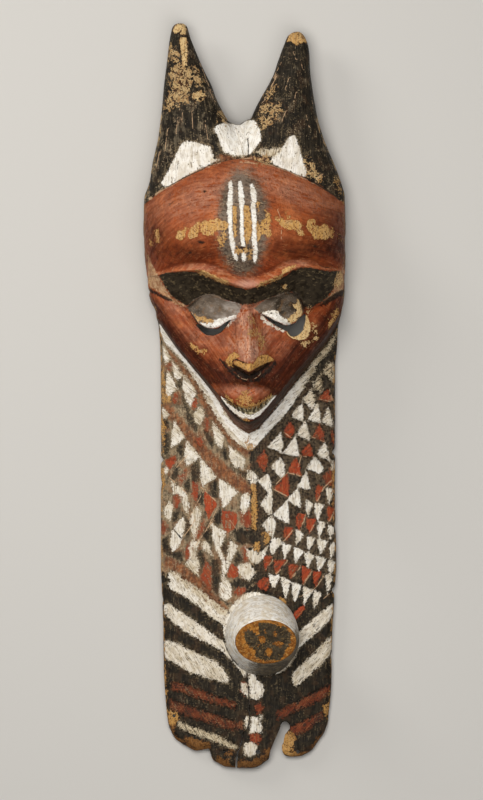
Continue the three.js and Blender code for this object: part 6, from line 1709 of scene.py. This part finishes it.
# soft dark oval on the forehead
oval_m = times(mask_of("oval", rough_shift, -1.0, 5.5, 0.40), mask_of("fore", None, 1.0, 2.0))
oval_c = mix(over(z_low, 0.0, 1.0), srgb(92, 82, 69), srgb(122, 110, 97))
oval_c = mix(over(z_stroke, 0.3, 0.8, 0.4), oval_c, srgb(130, 114, 100))
oval_c = mix(under(z_small, -0.7, 0.4, 0.6), oval_c, srgb(48, 40, 32))
oval_c = mix(over(z_hatch, 1.3, 0.5, 0.4), oval_c, srgb(156, 130, 106))
# the lower part of the oval darker: painted shade
oval_c = mix(times(attr("deep_red_and_shade"), 0.72), oval_c, mix(over(z_small, 0.0, 1.0), srgb(48, 40, 31), srgb(84, 74, 60)))
oval_c = mix(times(flecks, 0.6), oval_c, srgb(176, 156, 128))
col = mix(times(oval_m, 0.95), col, oval_c)
band_c = mix(over(z_mid, 0.0, 1.0), srgb(33, 26, 17), srgb(50, 42, 31))
band_c = mix(over(z_stroke, 0.9, 0.7, 0.25), band_c, srgb(76, 66, 50))
band_c = mix(over(z_hatch, 1.9, 0.4, 0.35), band_c, srgb(118, 103, 78))
band_c = mix(times(flecks, 0.3), band_c, srgb(148, 128, 94))
col = mix(mask_of("band", ragged, 0, 0.7, 0.35), col, band_c)
temple_c = mix(over(z_mid, 0.0, 1.0), srgb(156, 112, 78), srgb(190, 150, 112))
temple_c = mix(over(z_small, 1.0, 0.5, 0.35), temple_c, srgb(204, 182, 150))
temple_c = mix(under(z_small, -1.3, 0.4, 0.35), temple_c, srgb(96, 62, 40))
col = mix(mask_of("temple", ragged, 0, 1.2, 0.5), col, temple_c)
lid_t = calc("MULTIPLY_ADD", z_blob, 0.10, attr("lidtone"), clamp=True)
lid_c = mix(ramp(lid_t, 0.0, 0.5), srgb(48, 39, 29), srgb(106, 93, 81))
lid_c = mix(ramp(lid_t, 0.5, 1.0), lid_c, srgb(168, 158, 149))
lid_c = mix(over(z_stroke, 0.9, 0.8, 0.22), lid_c, srgb(146, 134, 120))
lid_c = mix(under(z_small, -1.1, 0.6, 0.25), lid_c, srgb(66, 56, 44))
lid_c = mix(over(z_fine, 1.6, 0.4, 0.3), lid_c, srgb(176, 162, 142))
lid_c = mix(over(z_mid, 1.5, 0.4, 0.4), lid_c, srgb(118, 88, 58))
col = mix(mask_of("lid", ragged, 0, 0.8, 0.35), col, lid_c)
dark_on_skin = times(mask_of("dark", ragged, 0, 1.2, 0.5), skin_m)
col = mix(times(dark_on_skin, 0.95), col, mix(over(z_small, 0.4, 0.8), srgb(16, 11, 7), srgb(40, 27, 17)))
# red marks; the dull ones are rubbed thin and soft-edged
red_soft = calc("MULTIPLY_ADD", tint_a, 2.4, 0.5)
red_v = calc("MULTIPLY_ADD", ragged, calc("MULTIPLY_ADD", tint_a, 1.5, 0.4), attr("red"))
red_m = times(ramp(red_v, times(red_soft, -1.0), red_soft), calc("MULTIPLY_ADD", tint_a, -0.25, 1.0))
red_m = times(red_m, calc("SUBTRACT", 1.0, over(blend((z_small, 0.6), (z_fine, 0.4), (z_stroke, 0.6)), calc("MULTIPLY_ADD", tint_a, -1.2, 2.0), 0.45, 0.65)))
col = mix(red_m, col, red_c)
# white, thinned where it has flaked
boss_m = mask_of("boss", None, 0.3, 1.0)
# grime and painted shade on the right and lower flank of the boss
boss_dirt_and_shade = over(calc("MULTIPLY_ADD", blend((z_mid, 0.6), (z_small, 0.4)), 0.16, attr("boss_grime_and_shade")), 0.5, 0.36)
boss_side = mix(over(z_mid, -0.5, 1.2), srgb(228, 218, 200), srgb(246, 243, 237))
boss_side = mix(over(z_stroke, 1.0, 0.5, 0.3), boss_side, srgb(186, 168, 138))
boss_side = mix(over(z_hatch, 1.4, 0.4, 0.42), boss_side, srgb(132, 116, 90))
boss_side = mix(times(chips, 0.5), boss_side, srgb(120, 100, 72))
boss_side = mix(times(boss_dirt_and_shade, 0.92), boss_side, mix(over(z_mid, 0.3, 1.0), srgb(52, 42, 28), srgb(108, 92, 64)))
col = mix(boss_m, col, boss_side)
white_m = times(ramp(white_edge, -0.85, 0.35), calc("SUBTRACT", 1.0, boss_m))
near_edge = ramp(attr("white"), 2.2, 0.0, 0.0, 0.55)
flake_at = calc("SUBTRACT", calc("MULTIPLY_ADD", tint_a, -1.3, 2.45), near_edge)
flake = over(blend((z_small, 0.6), (z_fine, 0.45), (z_hatch, 0.55)), flake_at, 0.22, 0.9)
thin = times(over(z_hatch, calc("MULTIPLY_ADD", tint_a, -1.6, 2.4), 0.3), 0.75)
cover = calc("SUBTRACT", 1.0, calc("MAXIMUM", flake, thin), clamp=True)
col = mix(times(white_m, cover), col, white_c)
col = mix(mask_of("teeth", ragged, 0, 0.5, 0.25), col, mix(over(z_small, 0.0, 1.0), srgb(178, 166, 134), srgb(104, 94, 68)))
# thin scratched or painted lines, broken along their length; among them the painted highlight on the forehead's top
# edge and a painted shadow by the left eye
ll = calc("ABSOLUTE", attr("lightline"))
l_gate = ramp(attr("lightfar"), 2.6, 1.4)
l_break = over(z_mid, -0.6, 0.5)
col = mix(times(times(ramp(calc("MULTIPLY_ADD", z_small, 0.25, ll), 1.5, 0.6), l_gate), times(l_break, 0.66)), col, srgb(208, 172, 136))
dl = calc("ABSOLUTE", attr("darkline"))
d_gate = ramp(attr("darkfar"), 2.6, 1.4)
col = mix(times(times(ramp(calc("MULTIPLY_ADD", z_small, 0.2, dl), 1.4, 0.7), d_gate), 0.9), col, srgb(28, 20, 14))
# worn places down to the wood, with a thin brown edge where the paint is breaking away
wear_amt = calc("MULTIPLY_ADD", attr("wearrough"), 2.3, 0.15)
wear_v = calc("MULTIPLY_ADD", ragged, wear_amt, attr("wear"))
wear_m = ramp(wear_v, -0.6, 0.2)
col = mix(times(ramp(wear_v, -1.8, -0.4), 0.4), col, srgb(98, 58, 30))
wear_m = times(wear_m, calc("MULTIPLY_ADD", attr("wearrough"), -0.34, 1.0))
wear_m = times(wear_m, over(blend((z_small, 0.7), (z_mid, 0.4), (z_fine, 0.5)), calc("MULTIPLY_ADD", attr("wearrough"), 1.6, -1.8), 0.3))
col = mix(times(wear_m, 0.97), col, wood)
# bare rubbed arris round the board and horns
rub = calc("MULTIPLY_ADD", rough_shift, -0.55, attr("edge"))
rub_m = times(ramp(rub, 1.1, 0.0), calc("MULTIPLY_ADD", attr("steep"), -0.58, 0.7))
col = mix(rub_m, col, wood)
# worn flat end of the boss
bf = mask_of("bossface", None, 0.0, 0.35)
centre_m = times(ramp(calc("MULTIPLY_ADD", ragged, 0.7, attr("bossdark")), -0.6, 0.8), ramp(calc("MULTIPLY_ADD", ragged, 0.6, attr("bossspot")), 0.6, -0.5))
boss_dark = mix(over(z_mid, 0.0, 1.0), srgb(58, 49, 36), srgb(80, 70, 54))
boss_dark = mix(over(z_fibre, 0.6, 0.6, 0.5), boss_dark, srgb(40, 32, 22))
boss_dark = mix(over(z_small, 1.5, 0.4, 0.5), boss_dark, srgb(124, 100, 62))
boss_dark = mix(times(flecks, 0.5), boss_dark, srgb(158, 132, 92))
boss_wood = mix(over(z_mid, 0.0, 1.0), srgb(176, 116, 48), srgb(134, 80, 30))
boss_wood = mix(over(z_small, 0.9, 0.6, 0.5), boss_wood, srgb(84, 50, 20))
boss_wood = mix(under(z_fine, -1.2, 0.4, 0.6), boss_wood, srgb(202, 158, 92))
bcol = mix(centre_m, boss_wood, boss_dark)
bcol = mix(times(ramp(attr("bossface"), 1.6, 0.4), 0.88), bcol, srgb(40, 24, 12))
col = mix(bf, col, bcol)
# pits and old holes
col = mix(mask_of("pit", ragged, 0, 0.6, 0.25), col, srgb(52, 30, 19))
# sides, back and hollow: dark handled wood, plainer than the front
side_c = mix(over(z_grain, 0.0, 1.0), srgb(112, 76, 44), srgb(68, 47, 29))
side_c = mix(over(z_blob, 0.0, 0.8, 0.75), side_c, srgb(50, 40, 29))
side_c = mix(over(z_small, 0.9, 0.5, 0.6), side_c, srgb(148, 106, 62))
side_c = mix(over(z_fibre, 1.0, 0.5, 0.5), side_c, srgb(40, 30, 20))
side_c = mix(over(speck_c, 1.4, 0.4, 0.5), side_c, srgb(172, 130, 82))
back_c = mix(over(z_grain, 0.0, 1.2), srgb(120, 84, 51), srgb(90, 62, 38))
back_c = mix(over(z_fibre, 0.6, 0.6, 0.55), back_c, srgb(66, 45, 28))
back_c = mix(over(z_low, 0.2, 0.9, 0.6), back_c, srgb(64, 46, 31))
back_c = mix(over(z_blob, 0.6, 0.8, 0.45), back_c, srgb(72, 54, 37))
back_c = mix(over(z_hatch, 1.5, 0.5, 0.35), back_c, srgb(156, 116, 74))
back_c = mix(over(speck_c, 1.5, 0.5, 0.2), back_c, srgb(150, 112, 74))
hollow_c = mix(over(z_grain, 0.0, 1.0), srgb(98, 66, 40), srgb(60, 41, 26))
hollow_c = mix(over(z_low, 0.0, 0.9, 0.7), hollow_c, srgb(40, 29, 20))
hollow_c = mix(over(z_fibre, 0.9, 0.5, 0.5), hollow_c, srgb(30, 22, 16))
hollow_c = mix(over(speck_c, 1.4, 0.4, 0.4), hollow_c, srgb(124, 88, 54))
col = mix(mask_of("side", None, 0.5, 0.3), col, side_c)
col = mix(mask_of("under", None, 0.5, 0.3), col, back_c)
col = mix(mask_of("hollow", None, 0.5, 0.3), col, hollow_c)

bsdf = N.new("ShaderNodeBsdfPrincipled")
outn = N.new("ShaderNodeOutputMaterial")
link(bsdf.outputs["BSDF"], outn.inputs["Surface"])
link(col, bsdf.inputs["Base Color"])
rough_v = ramp(z_mid, -1.6, 1.6, 0.54, 0.72)
rough_v = calc("MULTIPLY_ADD", white_m, 0.16, rough_v)
rough_v = calc("MULTIPLY_ADD", wear_m, 0.08, rough_v, clamp=True)
link(rough_v, bsdf.inputs["Roughness"])
bsdf.inputs["Specular IOR Level"].default_value = 0.14
# height in millimetres
height = blend((z_stroke, 0.07), (z_hatch, 0.045), (z_small, 0.05), (z_fine, 0.03), (z_mid, 0.08), (z_grain, 0.035))
height = calc("MULTIPLY_ADD", times(z_grain, ramp(weather, 0.02, 0.08)), 0.09, height)
height = calc("MULTIPLY_ADD", times(white_m, cover), 0.12, height)
height = calc("MULTIPLY_ADD", wear_m, -0.16, height)
height = calc("MULTIPLY_ADD", chips, -0.12, height)
bump = N.new("ShaderNodeBump")
bump.inputs["Strength"].default_value = 0.8
bump.inputs["Distance"].default_value = 0.001
link(height, bump.inputs["Height"])
link(bump.outputs["Normal"], bsdf.inputs["Normal"])
me.materials.append(mat)

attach(mask, "root")
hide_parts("mask")

# ------------------------------------------------------------------ floor, light, camera
floor_me = bpy.data.meshes.new("floor")
floor_me.from_pydata([(-20, -20, 0), (20, -20, 0), (20, 20, 0), (-20, 20, 0)], [], [(0, 1, 2, 3)])
floor = bpy.data.objects.new("floor", floor_me)
bpy.context.scene.collection.objects.link(floor)
floor.location.z = -0.0004
fm = bpy.data.materials.new("floor_pale")
fm.use_nodes = True
fb = fm.node_tree.nodes["Principled BSDF"]
fb.inputs["Base Color"].default_value = (0.62, 0.61, 0.59, 1)
fb.inputs["Roughness"].default_value = 0.9
floor_me.materials.append(fm)


def area(name, loc, target, size, power, color=(1, 1, 1)):
    li = bpy.data.lights.new(name, "AREA")
    li.shape = "DISK"
    li.size = size
    li.energy = power
    li.color = color
    ob = bpy.data.objects.new(name, li)
    ob.location = loc
    ob.rotation_euler = (Vector(target) - Vector(loc)).to_track_quat("-Z", "Y").to_euler()
    bpy.context.scene.collection.objects.link(ob)


area("key", (-0.36, 0.44, 2.3), (0, 0.02, 0.05), 1.4, 34.5, (1.0, 0.965, 0.91))
area("rim", (-1.6, 1.4, 1.0), (0, 0.05, 0.05), 0.9, 15.5, (1.0, 0.97, 0.92))
area("fill", (0.5, -0.5, 2.3), (0, 0, 0), 1.8, 14, (1.0, 0.975, 0.94))

world = bpy.data.worlds.new("studio")
world.use_nodes = True
world.node_tree.nodes["Background"].inputs["Color"].default_value = (0.95, 0.94, 0.92, 1)
world.node_tree.nodes["Background"].inputs["Strength"].default_value = 0.15
bpy.context.scene.world = world
bpy.context.scene.view_settings.view_transform = "Standard"

cam_data = bpy.data.cameras.new("camera")
cam = bpy.data.objects.new("camera", cam_data)
bpy.context.scene.collection.objects.link(cam)
DIST = 18.0
cam.location = ((241.5 - CU) * K / 1000, (CV - 400) * K / 1000, DIST)
cam.rotation_euler = (0, 0, 0)
cam_data.sensor_width = 36
cam_data.sensor_fit = "AUTO"
cam_data.lens = 36 * (DIST - 0.02) / (800 * K / 1000)
cam_data.clip_end = 60
bpy.context.scene.camera = cam
